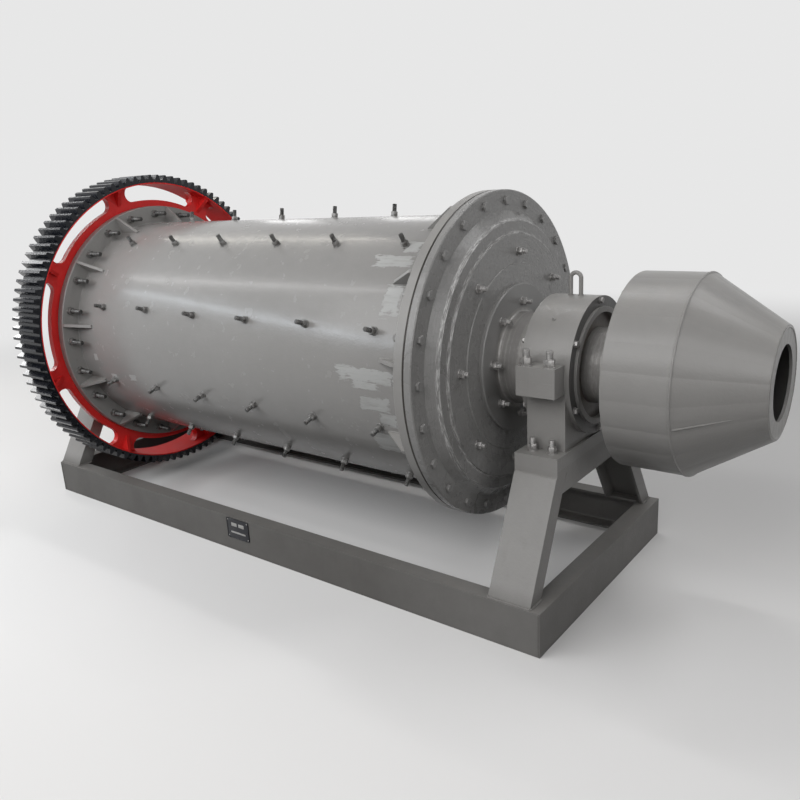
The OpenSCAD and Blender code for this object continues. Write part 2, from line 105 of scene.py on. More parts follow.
class MillSizes(bpy.types.PropertyGroup):
    liner_flats: length("Liner nut width", 0.022, "Width across a liner nut's flats", min=0.015)
    liner_stud_end: length("Liner stud end", 0.027, "Thread above a liner nut", min=0.001)
    head_flats: length("Head nut width", 0.022, "Width across a head nut's flats", min=0.015)
    head_stud_end: length("Head stud end", 0.013, "Thread above a head nut", min=0.001)
    rim_flats: length("Rim bolt width", 0.026, "Width across a rim bolt's flats", min=0.015)
    rim_head_height: length("Rim bolt head", 0.010, "Height of a rim bolt's head", min=0.005)
    feed_stud_end: length("Feed rim stud end", 0.004, "Thread behind the feed rim's nuts")
    gear_stud_end: length("Gear rim stud end", 0.062, "Thread in front of the gear rim's nuts")
    lug_flats: length("Lug nut width", 0.030, "Width across a cap lug nut's flats", min=0.015)
    lug_stud_end: length("Lug stud end", 0.024, "Thread above a cap lug nut", min=0.001)
    foot_flats: length("Foot nut width", 0.025, "Width across a foot nut's flats", min=0.015)
    foot_stud_end: length("Foot stud end", 0.020, "Thread above a foot nut", min=0.001)
    cover_bolt_flats: length("Cover bolt width", 0.017, "Width across a cover bolt's flats")
    washer_height: length("Washer thickness", 0.0035, "Thickness of the washers", min=0.001)
    weld_size: length("Weld size", 0.005, "Radius of a weld bead", min=0.001)
    plate_length: length("Plate length", 0.120, "Length of the blank nameplate", min=0.05)
    plate_height: length("Plate height", 0.080, "Height of the blank nameplate", min=0.03)


class MillColours(bpy.types.PropertyGroup):
    body: colour("Body paint", (0.270, 0.262, 0.252), "Grey enamel of shell, frame and feeder")
    body_pale: colour("Touch-up paint", (0.40, 0.40, 0.39), "Paler grey of the touched-up patches")
    head: colour("Head paint", (0.235, 0.230, 0.224), "Grey of heads, trunnion flanges and covers")
    # Painted highlight: this pale colour goes in streaks on the heads' corners in place of their
    # gloss highlights
    corner: colour("Corner enamel", (0.66, 0.65, 0.64), "Bright brush strokes on a head's corners")
    red: colour("Gear red", (0.78, 0.032, 0.030), "Red enamel of the gear's wheel plate")
    black: colour("Gear black", (0.005, 0.006, 0.010), "Black of the gear's teeth")
    steel: colour("Steel", (0.27, 0.262, 0.255), "Bare steel of studs and nuts")
    neck: colour("Machined neck", (0.27, 0.26, 0.25), "Turned steel under a thin coat")
    dark_steel: colour("Painted bolts", (0.125, 0.122, 0.118), "Liner bolts and their nuts")
    bronze: colour("Bronze", (0.42, 0.24, 0.09), "Bearing sleeves")
    dust: colour("Dust", (0.40, 0.37, 0.33), "Workshop dust on faces that look up")
    # This dark colour also stands for painted shade in occluded corners
    grime_and_shade: colour("Grime", (0.050, 0.045, 0.040), "Dirt in corners and runs")
    floor: colour("Floor", (0.80, 0.79, 0.78), "Pale floor and surroundings")


# Colours that belong to one finish each
# Painted shade laid on the frame's lower parts
FRAME_LOW_SHADE = (0.060, 0.056, 0.050)
RED_SHADE = (0.10, 0.010, 0.010)
# Brown of the cover's recess, darkened further as painted shade
COVER_RECESS_SHADE = (0.120, 0.100, 0.084)
PLATE_FIELD = (0.40, 0.395, 0.385)


# Modelling helpers


def clear_selection():
    active = bpy.context.view_layer.objects.active
    if active and active.mode != "OBJECT":
        bpy.ops.object.mode_set(mode="OBJECT")
    bpy.ops.object.select_all(action="DESELECT")


def choose(*objects):
    clear_selection()
    for piece in objects:
        piece.select_set(True)
    bpy.context.view_layer.objects.active = objects[0]


def turned(sides, rings):
    """Closed piece along Z, extruded from a disc through rings of (radius, height)."""
    clear_selection()
    radius, height = rings[0]
    bpy.ops.mesh.primitive_circle_add(
        vertices=sides, radius=radius, fill_type="NGON", location=(0, 0, height)
    )
    bpy.ops.object.transform_apply(location=True)
    bpy.ops.object.mode_set(mode="EDIT")
    bpy.ops.mesh.select_all(action="SELECT")
    for next_radius, next_height in rings[1:]:
        bpy.ops.mesh.extrude_region_move(
            TRANSFORM_OT_translate={"value": (0, 0, next_height - height)}
        )
        factor = next_radius / radius
        bpy.ops.transform.resize(value=(factor, factor, 1), center_override=(0, 0, next_height))
        radius, height = next_radius, next_height
    bpy.ops.mesh.select_all(action="SELECT")
    bpy.ops.mesh.normals_make_consistent(inside=False)
    bpy.ops.object.mode_set(mode="OBJECT")
    return bpy.context.object


def joined(name, parts):
    choose(*parts)
    if len(parts) > 1:
        bpy.ops.object.join()
    bpy.ops.object.transform_apply(location=True, rotation=True, scale=True)
    piece = bpy.context.object
    piece.name = name
    piece.data.name = name
    return piece


def stamped(name, pattern, places):
    """One copy of the pattern at each place, each with its own mesh, made one object."""
    copies = []
    for place in places:
        copy = pattern.copy()
        copy.data = pattern.data.copy()
        bpy.context.collection.objects.link(copy)
        copy.matrix_world = place
        copies.append(copy)
    bpy.data.objects.remove(pattern)
    return joined(name, copies)


def placed(x, radius, angle, way=0, spin=0):
    """Place round the mill axis: Z points outwards, or along the mill where way is 1 or -1."""
    swing = Matrix.Rotation(math.radians(angle), 4, "X")
    turn = (
        Matrix.Rotation(way * math.pi / 2, 4, "Y") if way else Matrix.Rotation(-math.pi / 2, 4, "X")
    )
    return (
        Matrix.Translation((x, 0, AXIS_Z))
        @ swing
        @ Matrix.Translation((0, radius, 0))
        @ turn
        @ Matrix.Rotation(math.radians(spin), 4, "Z")
    )


def spaced(count, first):
    return [first + i * 360 / count for i in range(count)]


def bolt_circle(circle, x, way, chance):
    """Places round a circle of (number, radius, first angle), each nut turned by chance."""
    count, radius, first = circle
    return [placed(x, radius, angle, way, chance.uniform(0, 60)) for angle in spaced(count, first)]


def finished(piece, body, material, smooth=35):
    """Shades a piece, gives it its finish and lets it ride on its body."""
    choose(piece)
    bpy.ops.object.shade_smooth_by_angle(angle=math.radians(smooth))
    piece.data.materials.clear()
    piece.data.materials.append(material)
    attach(piece, body)
    return piece


def washer(radius, height, start=0):
    edge = height / 4
    return turned(
        20, [(radius, start), (radius, start + height - edge), (radius - edge, start + height)]
    )


def hexagon(flats, height, start):
    """Nut or bolt head with chamfered corners."""
    corner = flats / math.sqrt(3)
    chamfer = 0.12 * height
    return turned(
        6,
        [
            (0.93 * corner, start),
            (corner, start + chamfer),
            (corner, start + height - chamfer),
            (0.90 * corner, start + height),
        ],
    )


def thread(radius, height, start):
    """Stud end with a few rolled threads and a broken tip."""
    pitch = 0.0030
    turns = max(2, round(height / pitch))
    rings = [(0.90 * radius, start - pitch)]
    for i in range(turns):
        base = start + i * height / turns
        rings.append((radius, base + 0.35 * height / turns))
        rings.append((0.90 * radius, base + 0.85 * height / turns))
    rings.append((0.72 * radius, start + height))
    return turned(10, rings)


def nut_and_end(sizes, flats, stud_end):
    """Washer, nut and the stud end above it, all in proportion to the nut's width."""
    base = sizes.washer_height
    height = 0.70 * flats
    return joined(
        "nut_pattern",
        [
            washer(0.66 * flats, base),
            hexagon(flats, height, base),
            thread(0.37 * flats, stud_end, base + height),
        ],
    )


# Shader helpers


def add(tree, kind, inputs=None, **settings):
    """Adds a node; inputs gives a value or a socket for each of its sockets."""
    node = tree.nodes.new(kind)
    for key, value in settings.items():
        setattr(node, key, value)
    for key, value in (inputs or {}).items():
        if isinstance(value, bpy.types.NodeSocket):
            tree.links.new(value, node.inputs[key])
        else:
            node.inputs[key].default_value = value
    return node


def maths(tree, operation, *values):
    return add(tree, "ShaderNodeMath", dict(enumerate(values)), operation=operation).outputs[0]


def times(tree, first, second):
    return maths(tree, "MULTIPLY", first, second)


def between(tree, value, low, high):
    """0 below low, 1 above high, smooth between them; low may be the larger."""
    node = add(
        tree,
        "ShaderNodeMapRange",
        {0: value, 1: low, 2: high, 3: 0.0, 4: 1.0},
        interpolation_type="SMOOTHSTEP",
    )
    return node.outputs[0]


def blend(tree, factor, first, second):
    node = add(tree, "ShaderNodeMix", {0: factor, 6: first, 7: second}, data_type="RGBA")
    return node.outputs[2]


def noise(tree, vector, scale, detail=3.0, roughness=0.5):
    node = add(
        tree,
        "ShaderNodeTexNoise",
        {"Vector": vector, "Scale": scale, "Detail": detail, "Roughness": roughness},
    )
    return node.outputs["Fac"]


def object_point(tree):
    """Shaded point in the part's frame, which is every piece's own frame too."""
    return add(tree, "ShaderNodeTexCoord").outputs["Object"]


def stretched(tree, vector, scale):
    return add(tree, "ShaderNodeMapping", {"Vector": vector, "Scale": scale}).outputs[0]


def new_group(name, inputs, outputs):
    group = bpy.data.node_groups.new(name, "ShaderNodeTree")
    for label, kind, value in inputs:
        socket = group.interface.new_socket(label, in_out="INPUT", socket_type="NodeSocket" + kind)
        socket.default_value = value
    for label, kind in outputs:
        group.interface.new_socket(label, in_out="OUTPUT", socket_type="NodeSocket" + kind)
    return group, group.nodes.new("NodeGroupInput"), group.nodes.new("NodeGroupOutput")


def use(tree, group, inputs=None):
    node = tree.nodes.new("ShaderNodeGroup")
    node.node_tree = group
    for key, value in (inputs or {}).items():
        if isinstance(value, bpy.types.NodeSocket):
            tree.links.new(value, node.inputs[key])
        else:
            node.inputs[key].default_value = value
    return node.outputs


def full(rgb, tone=1.0):
    """Colour with its alpha, made darker or paler by tone."""
    return (*(tone * channel for channel in rgb), 1.0)


def mill_place_group():
    """Distance along the mill, radius from its axis and angle, up from the camera's side."""
    group, _, out = new_group(
        "mill_place", [], [("Along", "Float"), ("Radius", "Float"), ("Angle", "Float")]
    )
    position = object_point(group)
    split = add(group, "ShaderNodeSeparateXYZ", {0: position})
    up = maths(group, "SUBTRACT", split.outputs["Z"], AXIS_Z)
    near = times(group, split.outputs["Y"], -1.0)
    squares = maths(group, "ADD", times(group, up, up), times(group, near, near))
    group.links.new(split.outputs["X"], out.inputs["Along"])
    group.links.new(maths(group, "SQRT", squares), out.inputs["Radius"])
    group.links.new(maths(group, "ARCTAN2", up, near), out.inputs["Angle"])
    return group


def edge_wear_group():
    """Mask of the sharp edges, broken up by noise."""
    group, inp, out = new_group(
        "edge_wear", [("Radius", "Float", 0.004), ("Amount", "Float", 0.5)], [("Mask", "Float")]
    )
    position = object_point(group)
    rounded = add(group, "ShaderNodeBevel", {"Radius": inp.outputs["Radius"]}, samples=4)
    plain = add(group, "ShaderNodeNewGeometry").outputs["Normal"]
    dot = add(
        group, "ShaderNodeVectorMath", {0: rounded.outputs[0], 1: plain}, operation="DOT_PRODUCT"
    ).outputs["Value"]
    edge = between(group, dot, 0.985, 0.86)
    broken = between(group, noise(group, position, 55.0, 4.0, 0.65), 0.40, 0.62)
    mask = times(group, times(group, edge, broken), inp.outputs["Amount"])
    group.links.new(mask, out.inputs["Mask"])
    return group


def dust_group():
    """Mask of the dust that lies on faces that look up, and of the soiling and painted shade in
    occluded corners.
    """
    group, inp, out = new_group(
        "dust_dirt_and_shade",
        [("Dust", "Float", 0.3), ("Dirt and Shade", "Float", 0.4), ("Reach", "Float", 0.03)],
        [("Dust", "Float"), ("Dirt and Shade", "Float")],
    )
    place = add(group, "ShaderNodeTexCoord")
    up = add(group, "ShaderNodeSeparateXYZ", {0: place.outputs["Normal"]}).outputs["Z"]
    patchy = between(group, noise(group, place.outputs["Object"], 14.0, 5.0, 0.6), 0.30, 0.75)
    settled = times(group, between(group, up, 0.45, 0.98), patchy)
    open_sky = add(
        group, "ShaderNodeAmbientOcclusion", {"Distance": inp.outputs["Reach"]}, samples=4
    ).outputs["AO"]
    # Painted shade: corners hidden from the ambient occlusion rays get the dark mask, made patchy
    # by noise
    corner = times(group, between(group, open_sky, 0.80, 0.30), patchy)
    dust = times(group, settled, inp.outputs["Dust"])
    dirt_and_shade = times(group, corner, inp.outputs["Dirt and Shade"])
    group.links.new(dust, out.inputs["Dust"])
    group.links.new(dirt_and_shade, out.inputs["Dirt and Shade"])
    return group


def paint_group():
    """Sprayed enamel: cloudy tone, faint runs, orange peel and grain."""
    group, inp, out = new_group(
        "sprayed_enamel",
        [
            ("Paint", "Color", (0.5, 0.5, 0.5, 1)),
            ("Cloud", "Float", 0.12),
            ("Runs", "Float", 0.1),
            ("Roughness", "Float", 0.35),
            ("Grain Scale", "Float", 160.0),
            ("Grain", "Float", 0.5),
        ],
        [("Color", "Color"), ("Roughness", "Float"), ("Height", "Float")],
    )
    position = object_point(group)
    cloud = noise(group, position, 2.6, 5.0, 0.6)
    mottle = noise(group, position, 22.0, 4.0, 0.55)
    run = noise(group, stretched(group, position, (26.0, 26.0, 1.6)), 1.0, 3.0, 0.55)
    tone = maths(group, "ADD", times(group, cloud, 0.65), times(group, mottle, 0.35))
    shift = maths(group, "MULTIPLY", maths(group, "SUBTRACT", tone, 0.5), inp.outputs["Cloud"])
    drip = maths(group, "MULTIPLY", between(group, run, 0.56, 0.80), inp.outputs["Runs"])
    value = maths(group, "SUBTRACT", maths(group, "MULTIPLY_ADD", shift, 4.0, 1.0), drip)
    tinted = add(
        group, "ShaderNodeVectorMath", {0: inp.outputs["Paint"], "Scale": value}, operation="SCALE"
    ).outputs[0]
    rough = maths(
        group,
        "ADD",
        inp.outputs["Roughness"],
        times(group, maths(group, "SUBTRACT", mottle, 0.5), 0.22),
    )
    peel = noise(group, position, 95.0, 2.0, 0.5)
    grain = noise(group, position, inp.outputs["Grain Scale"], 3.0, 0.6)
    height = maths(
        group, "ADD", times(group, peel, 0.35), times(group, grain, inp.outputs["Grain"])
    )
    group.links.new(tinted, out.inputs["Color"])
    group.links.new(rough, out.inputs["Roughness"])
    group.links.new(height, out.inputs["Height"])
    return group


def surface(tree, colour_socket, roughness, height, distance, metallic=0.0, coat=0.0, gloss=0.35):
    """The material's own shader, with the bump that its height gives."""
    bump = add(tree, "ShaderNodeBump", {"Strength": 1.0, "Distance": distance, "Height": height})
    shader = add(
        tree,
        SURFACE,
        {
            "Base Color": colour_socket,
            "Roughness": roughness,
            "Metallic": metallic,
            "Coat Weight": coat,
            "Normal": bump.outputs[0],
        },
    )
    shader.inputs["Specular IOR Level"].default_value = gloss
    shader.inputs["Coat Roughness"].default_value = 0.12
    output = add(tree, "ShaderNodeOutputMaterial")
    tree.links.new(shader.outputs[0], output.inputs[0])
    return shader


def new_material(name, rgb):
    material = bpy.data.materials.new(name)
    material.use_nodes = True
    material.diffuse_color = full(rgb)
    material.node_tree.nodes.clear()
    return material, material.node_tree


class Finishes:
    """The finishes, each made the first time that a piece asks for it."""

    made = {}
    groups = {}

    @classmethod
    def group(cls, name, maker):
        if name not in cls.groups:
            cls.groups[name] = maker()
        return cls.groups[name]

    @classmethod
    def get(cls, name):
        if name not in cls.made:
            cls.made[name] = FINISH_MAKERS[name](bpy.context.scene.mill_colours)
        return cls.made[name]


def mill_place(tree):
    return use(tree, Finishes.group("place", mill_place_group))


def worn_paint(tree, colours, paint, cloud, runs, roughness, grain_scale, grain, dust, dirt_and_shade, wear):
    """Enamel with its dust, corners darkened by soiling and painted shade, and bare edges; returns
    colour, roughness and height.
    """
    coat = use(
        tree,
        Finishes.group("paint", paint_group),
        {
            "Paint": paint,
            "Cloud": cloud,
            "Runs": runs,
            "Roughness": roughness,
            "Grain Scale": grain_scale,
            "Grain": grain,
        },
    )
    soil_and_shade = use(tree, Finishes.group("dust", dust_group), {"Dust": dust, "Dirt and Shade": dirt_and_shade})
    edge = use(tree, Finishes.group("edge", edge_wear_group), {"Amount": wear})[0]
    # Painted shade: the dark colour darkens occluded corners, together with soiling
    soiled_and_shaded = blend(tree, soil_and_shade["Dirt and Shade"], coat["Color"], full(colours.grime_and_shade))
    dusty = blend(tree, soil_and_shade["Dust"], soiled_and_shaded, full(colours.dust))
    bare = blend(tree, edge, dusty, full(colours.body_pale))
    rough = maths(tree, "ADD", coat["Roughness"], times(tree, soil_and_shade["Dust"], 0.35))
    return bare, rough, coat["Height"]


def ring_marks(tree, place, fine, long):
    """Marks that run round the mill axis, as a brush or a lathe leaves them."""
    spot = add(
        tree,
        "ShaderNodeCombineXYZ",
        {
            0: times(tree, place["Radius"], fine),
            1: times(tree, place["Angle"], long),
            2: times(tree, place["Along"], fine),
        },
    ).outputs[0]
    return noise(tree, spot, 1.0, 3.0, 0.6)


def joint_line(tree, place):
    """Mask of the open joint between the feed flange and its head."""
    away = maths(tree, "ABSOLUTE", maths(tree, "SUBTRACT", place["Along"], SHELL_END))
    depth = between(tree, place["Radius"], FLANGE_RADIUS - 0.010, FLANGE_RADIUS - 0.006)
    return times(tree, between(tree, away, 0.0044, 0.0026), depth)


def body_finish(name, dust, dirt_and_shade):
    def make(colours):
        material, tree = new_material(name, colours.body)
        parts = worn_paint(
            tree,
            colours,
            full(colours.body),
            cloud=0.08,
            runs=0.05,
            roughness=0.34,
            grain_scale=210.0,
            grain=0.30,
            dust=dust,
            dirt_and_shade=dirt_and_shade,
            wear=0.15,
        )
        surface(tree, *parts, 0.0012, coat=0.04)
        return material

    return make


def frame_finish(colours):
    """Frame enamel, darker and duller towards the floor and more so towards the gear end; the
    darkening is painted shade.
    """
    material, tree = new_material("frame_enamel", colours.body)
    position = object_point(tree)
    shade, rough, height = worn_paint(
        tree,
        colours,
        full(colours.body),
        cloud=0.09,
        runs=0.06,
        roughness=0.42,
        grain_scale=210.0,
        grain=0.30,
        dust=0.18,
        dirt_and_shade=0.50,
        wear=0.15,
    )
    split = add(tree, "ShaderNodeSeparateXYZ", {0: position}).outputs
    # Painted shade: the frame darkens towards the floor, more at the gear end
    low = between(tree, split["Z"], 0.19, 0.13)
    gear_end = between(tree, split["X"], 1.05, 0.35)
    patchy = maths(tree, "MULTIPLY_ADD", noise(tree, position, 5.0, 5.0, 0.65), 0.35, 0.20)
    low_shade = times(tree, low, maths(tree, "MULTIPLY_ADD", gear_end, 0.26, patchy))
    shade = blend(tree, low_shade, shade, full(FRAME_LOW_SHADE))
    rough = maths(tree, "MULTIPLY_ADD", low_shade, 0.25, rough)
    surface(tree, shade, rough, height, 0.0012, gloss=0.25)
    return material


def flange_finish(colours):
    material, tree = new_material("flange_enamel", colours.body)
    place = mill_place(tree)
    shade, rough, height = worn_paint(
        tree,
        colours,
        full(colours.body),
        cloud=0.08,
        runs=0.05,
        roughness=0.32,
        grain_scale=210.0,
        grain=0.30,
        dust=0.20,
        dirt_and_shade=0.30,
        wear=0.10,
    )
    shade = blend(tree, joint_line(tree, place), shade, full(colours.grime_and_shade))
    surface(tree, shade, rough, height, 0.0012, coat=0.04)
    return material


def patch(tree, place, ragged, centre, angle, half_length, half_angle):
    """Mask of one brushed patch on the shell, with dry brush ends."""
    across = maths(tree, "DIVIDE", maths(tree, "SUBTRACT", place["Along"], centre), half_length)
    round_ = maths(
        tree,
        "DIVIDE",
        maths(tree, "SUBTRACT", place["Angle"], math.radians(angle)),
        math.radians(half_angle),
    )
    far = maths(tree, "MAXIMUM", maths(tree, "ABSOLUTE", across), maths(tree, "ABSOLUTE", round_))
    return between(tree, maths(tree, "ADD", far, ragged), 1.12, 0.90)


# Brushed touch-up patches: distance from the head's rim, angle up from the camera's side,
# half of the length, and half of the angle
TOUCH_UPS = (
    (-0.167, 56.0, 0.026, 2.8),
    (-0.215, 48.2, 0.072, 2.6),
    (-0.158, 31.2, 0.031, 5.8),
    (-0.225, 1.8, 0.105, 2.7),
    (-0.225, -2.2, 0.052, 1.6),
    (-0.200, -9.6, 0.050, 2.6),
    (-0.155, -15.6, 0.032, 2.6),
    (-0.200, -27.0, 0.044, 4.4),
    (-1.725, -7.9, 0.012, 1.6),
    (-1.632, -17.8, 0.020, 1.3),
    (-1.498, -17.0, 0.022, 1.7),
)


def shell_finish(colours):
    material, tree = new_material("shell_enamel", colours.body)
    place = mill_place(tree)
    position = object_point(tree)
    wander = maths(tree, "SUBTRACT", noise(tree, position, 22.0, 4.0, 0.6), 0.5)
    strokes = noise(tree, stretched(tree, position, (11.0, 90.0, 90.0)), 1.0, 3.0, 0.65)
    ragged = maths(
        tree,
        "ADD",
        times(tree, wander, 1.5),
        times(tree, maths(tree, "SUBTRACT", strokes, 0.5), 1.5),
    )
    mask = None
    for centre, angle, half_length, half_angle in TOUCH_UPS:
        one = patch(tree, place, ragged, FEED_RIM + centre, angle, half_length, half_angle)
        mask = one if mask is None else maths(tree, "MAXIMUM", mask, one)
    mask = times(tree, mask, between(tree, strokes, 0.20, 0.55))
    paint = blend(tree, mask, full(colours.body), full(colours.body_pale))
    coat = use(
        tree,
        Finishes.group("paint", paint_group),
        {
            "Paint": paint,
            "Cloud": 0.06,
            "Runs": 0.0,
            "Roughness": 0.24,
            "Grain Scale": 190.0,
            "Grain": 0.20,
        },
    )
    soil_and_shade = use(tree, Finishes.group("dust", dust_group), {"Dust": 0.05, "Dirt and Shade": 0.30})
    # Painted shade: the dark colour darkens occluded corners, together with soiling
    shade = blend(tree, soil_and_shade["Dirt and Shade"], coat["Color"], full(colours.grime_and_shade))
    shade = blend(tree, soil_and_shade["Dust"], shade, full(colours.dust))
    rough = maths(tree, "MULTIPLY_ADD", mask, 0.22, coat["Roughness"])
    height = maths(tree, "MULTIPLY_ADD", mask, 0.45, coat["Height"])
    surface(tree, shade, rough, height, 0.0010, coat=0.10)
    return material


def head_finish(colours):
    """Thick enamel brushed round a rough casting, with painted highlights in pale streaks on its
    corners and a dark line at the feed joint.
    """
    material, tree = new_material("head_enamel", colours.head)
    place = mill_place(tree)
    position = object_point(tree)
    shade, rough, height = worn_paint(
        tree,
        colours,
        full(colours.head),
        cloud=0.07,
        runs=0.0,
        roughness=0.28,
        grain_scale=120.0,
        grain=0.3,
        dust=0.10,
        dirt_and_shade=0.20,
        wear=0.20,
    )
    brushed = ring_marks(tree, place, 230.0, 9.0)
    cast = noise(tree, position, 42.0, 5.0, 0.62)
    height = maths(tree, "MULTIPLY_ADD", cast, 0.5, height)
    height = maths(tree, "MULTIPLY_ADD", brushed, 0.7, height)
    pale = times(tree, between(tree, brushed, 0.52, 0.78), 0.22)
    shade = blend(tree, pale, shade, full(colours.body_pale))
    # Painted highlight: pale streaks round the head's corners stand for the gloss highlights there
    strokes = between(tree, ring_marks(tree, place, 420.0, 12.0), 0.48, 0.60)
    for radius in HEAD_CORNERS:
        away = maths(tree, "ABSOLUTE", maths(tree, "SUBTRACT", place["Radius"], radius))
        corner = times(tree, between(tree, away, 0.0065, 0.0020), 0.85)
        shade = blend(tree, times(tree, corner, strokes), shade, full(colours.corner))
    shade = blend(tree, joint_line(tree, place), shade, full(colours.grime_and_shade))
    surface(tree, shade, rough, height, 0.0022, coat=0.15)
    return material


def feeder_finish(colours):
    """Rolled plate: a press brake leaves faint flats round the drum and the cone."""
    material, tree = new_material("feeder_enamel", colours.body)
    place = mill_place(tree)
    shade, rough, height = worn_paint(
        tree,
        colours,
        full(colours.body),
        cloud=0.06,
        runs=0.03,
        roughness=0.34,
        grain_scale=230.0,
        grain=0.20,
        dust=0.15,
        dirt_and_shade=0.30,
        wear=0.10,
    )
    step = math.radians(16.0)
    turn = maths(tree, "ADD", place["Angle"], math.radians(372.0))
    inside = maths(tree, "SUBTRACT", maths(tree, "MODULO", turn, step), step / 2)
    flat = times(tree, times(tree, inside, inside), place["Radius"])
    height = maths(tree, "MULTIPLY_ADD", flat, -0.5 * 0.45 / 0.0012, height)
    surface(tree, shade, rough, height, 0.0012, coat=0.05)
    return material


def greatest_radius(name):
    """Distance from the mill axis to the outermost point of a solid."""
    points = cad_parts[name].data.vertices
    return max(math.hypot(point.co.y, point.co.z - AXIS_Z) for point in points)


def gear_rim_finish(colours):
    """Black teeth and front face, red inside the rim."""
    material, tree = new_material("gear_rim_enamel", colours.black)
    place = mill_place(tree)
    bore = greatest_radius("gear_wheel")
    position = object_point(tree)
    wander = times(tree, noise(tree, position, 40.0, 3.0, 0.6), 0.0012)
    inner = between(tree, maths(tree, "ADD", place["Radius"], wander), bore + 0.0060, bore + 0.0045)
    paint = blend(tree, inner, full(colours.black), full(colours.red))
    coat = use(
        tree,
        Finishes.group("paint", paint_group),
        {"Paint": paint, "Cloud": 0.10, "Roughness": 0.26, "Grain Scale": 90.0, "Grain": 0.9},
    )
    soil_and_shade = use(tree, Finishes.group("dust", dust_group), {"Dust": 0.03, "Dirt and Shade": 0.0})
    shade = blend(tree, soil_and_shade["Dust"], coat["Color"], full(colours.dust))
    outside = times(tree, maths(tree, "SUBTRACT", 1.0, inner), 0.55)
    rough = maths(tree, "MULTIPLY_ADD", inner, 0.25, coat["Roughness"])
    surface(tree, shade, rough, coat["Height"], 0.0012, coat=outside, gloss=0.10)
    return material


def red_finish(colours):
    material, tree = new_material("gear_red_enamel", colours.red)
    coat = use(
        tree,
        Finishes.group("paint", paint_group),
        {
            "Paint": full(colours.red),
            "Cloud": 0.07,
            "Runs": 0.05,
            "Roughness": 0.24,
            "Grain Scale": 120.0,
            "Grain": 0.7,
        },
    )
    soil_and_shade = use(tree, Finishes.group("dust", dust_group), {"Dust": 0.05, "Dirt and Shade": 0.25})
    # Painted shade: occluded corners of the red turn dark red
    shade = blend(tree, soil_and_shade["Dirt and Shade"], coat["Color"], full(RED_SHADE))
    shade = blend(tree, soil_and_shade["Dust"], shade, full(colours.dust))
    surface(tree, shade, coat["Roughness"], coat["Height"], 0.0016, coat=0.15, gloss=0.15)
    return material


def trunnion_finish(colours):
    """Painted flange, and a neck and hub with turning marks under a thin coat."""
    material, tree = new_material("trunnion_steel", colours.steel)
    place = mill_place(tree)
    position = object_point(tree)
    shade, rough, height = worn_paint(
        tree,
        colours,
        full(colours.head),
        cloud=0.09,
        runs=0.05,
        roughness=0.32,
        grain_scale=120.0,
        grain=0.6,
        dust=0.15,
        dirt_and_shade=0.35,
        wear=0.20,
    )
    marks = noise(tree, stretched(tree, position, (480.0, 2.5, 2.5)), 1.0, 2.0, 0.6)
    bands = noise(tree, stretched(tree, position, (110.0, 0.6, 0.6)), 1.0, 2.0, 0.5)
    flecks = noise(tree, stretched(tree, position, (150.0, 60.0, 60.0)), 1.0, 3.0, 0.6)
    bright = between(tree, maths(tree, "MULTIPLY_ADD", flecks, 0.5, bands), 0.62, 0.95)
    tone = blend(tree, bright, full(colours.neck), full(colours.neck, 1.5))
    neck = between(tree, place["Radius"], 0.168, 0.160)
    shade = blend(tree, neck, shade, tone)
    rough = maths(
        tree,
        "ADD",
        times(tree, rough, maths(tree, "SUBTRACT", 1.0, neck)),
        times(tree, neck, maths(tree, "MULTIPLY_ADD", marks, 0.24, 0.20)),
    )
    height = maths(tree, "ADD", height, times(tree, marks, neck))
    metal = times(tree, times(tree, neck, bright), 0.35)
    surface(tree, shade, rough, height, 0.0006, metallic=metal)
    return material


def cover_finish(colours):
    """Cover with a dark face, a paler raised seal ring and a brown recess inside it, darkened
    further as painted shade.
    """
    material, tree = new_material("cover_enamel", colours.head)
    place = mill_place(tree)
    normal = add(tree, "ShaderNodeTexCoord").outputs["Normal"]
    along = add(tree, "ShaderNodeSeparateXYZ", {0: normal}).outputs["X"]
    face = between(tree, maths(tree, "ABSOLUTE", along), 0.5, 0.8)
    plate = between(tree, place["Radius"], 0.1810, 0.1820)
    # Painted shade, on top of the recess's own brown: the ring inside the seal ring is darkened
    recess = between(tree, place["Radius"], 0.1642, 0.1632)
    dark = full(colours.head, 0.48)
    paint = blend(tree, times(tree, plate, face), full(colours.body), dark)
    paint = blend(tree, recess, paint, full(COVER_RECESS_SHADE))
    parts = worn_paint(
        tree,
        colours,
        paint,
        cloud=0.09,
        runs=0.05,
        roughness=0.38,
        grain_scale=150.0,
        grain=0.5,
        dust=0.12,
        dirt_and_shade=0.30,
        wear=0.15,
    )
    surface(tree, *parts, 0.0012, coat=0.05)
    return material


def steel_finish(name, which, roughness, metallic, wear):
    def make(colours):
        rgb = tuple(getattr(colours, which))
        material, tree = new_material(name, rgb)
        position = object_point(tree)
        spots = noise(tree, position, 120.0, 4.0, 0.6)
        stain = noise(tree, position, 38.0, 3.0, 0.6)
        shade = blend(tree, between(tree, spots, 0.35, 0.75), full(rgb), full(rgb, 1.7))
        shade = blend(
            tree, times(tree, between(tree, stain, 0.55, 0.80), 0.6), shade, full(colours.grime_and_shade)
        )
        edge = use(
            tree, Finishes.group("edge", edge_wear_group), {"Amount": wear, "Radius": 0.0015}
        )[0]
        shade = blend(tree, edge, shade, full(colours.body_pale))
        rough = maths(tree, "MULTIPLY_ADD", spots, 0.25, roughness)
        metal = maths(tree, "MULTIPLY_ADD", stain, -0.2, metallic)
        surface(tree, shade, rough, spots, 0.0004, metallic=metal)
        return material

    return make


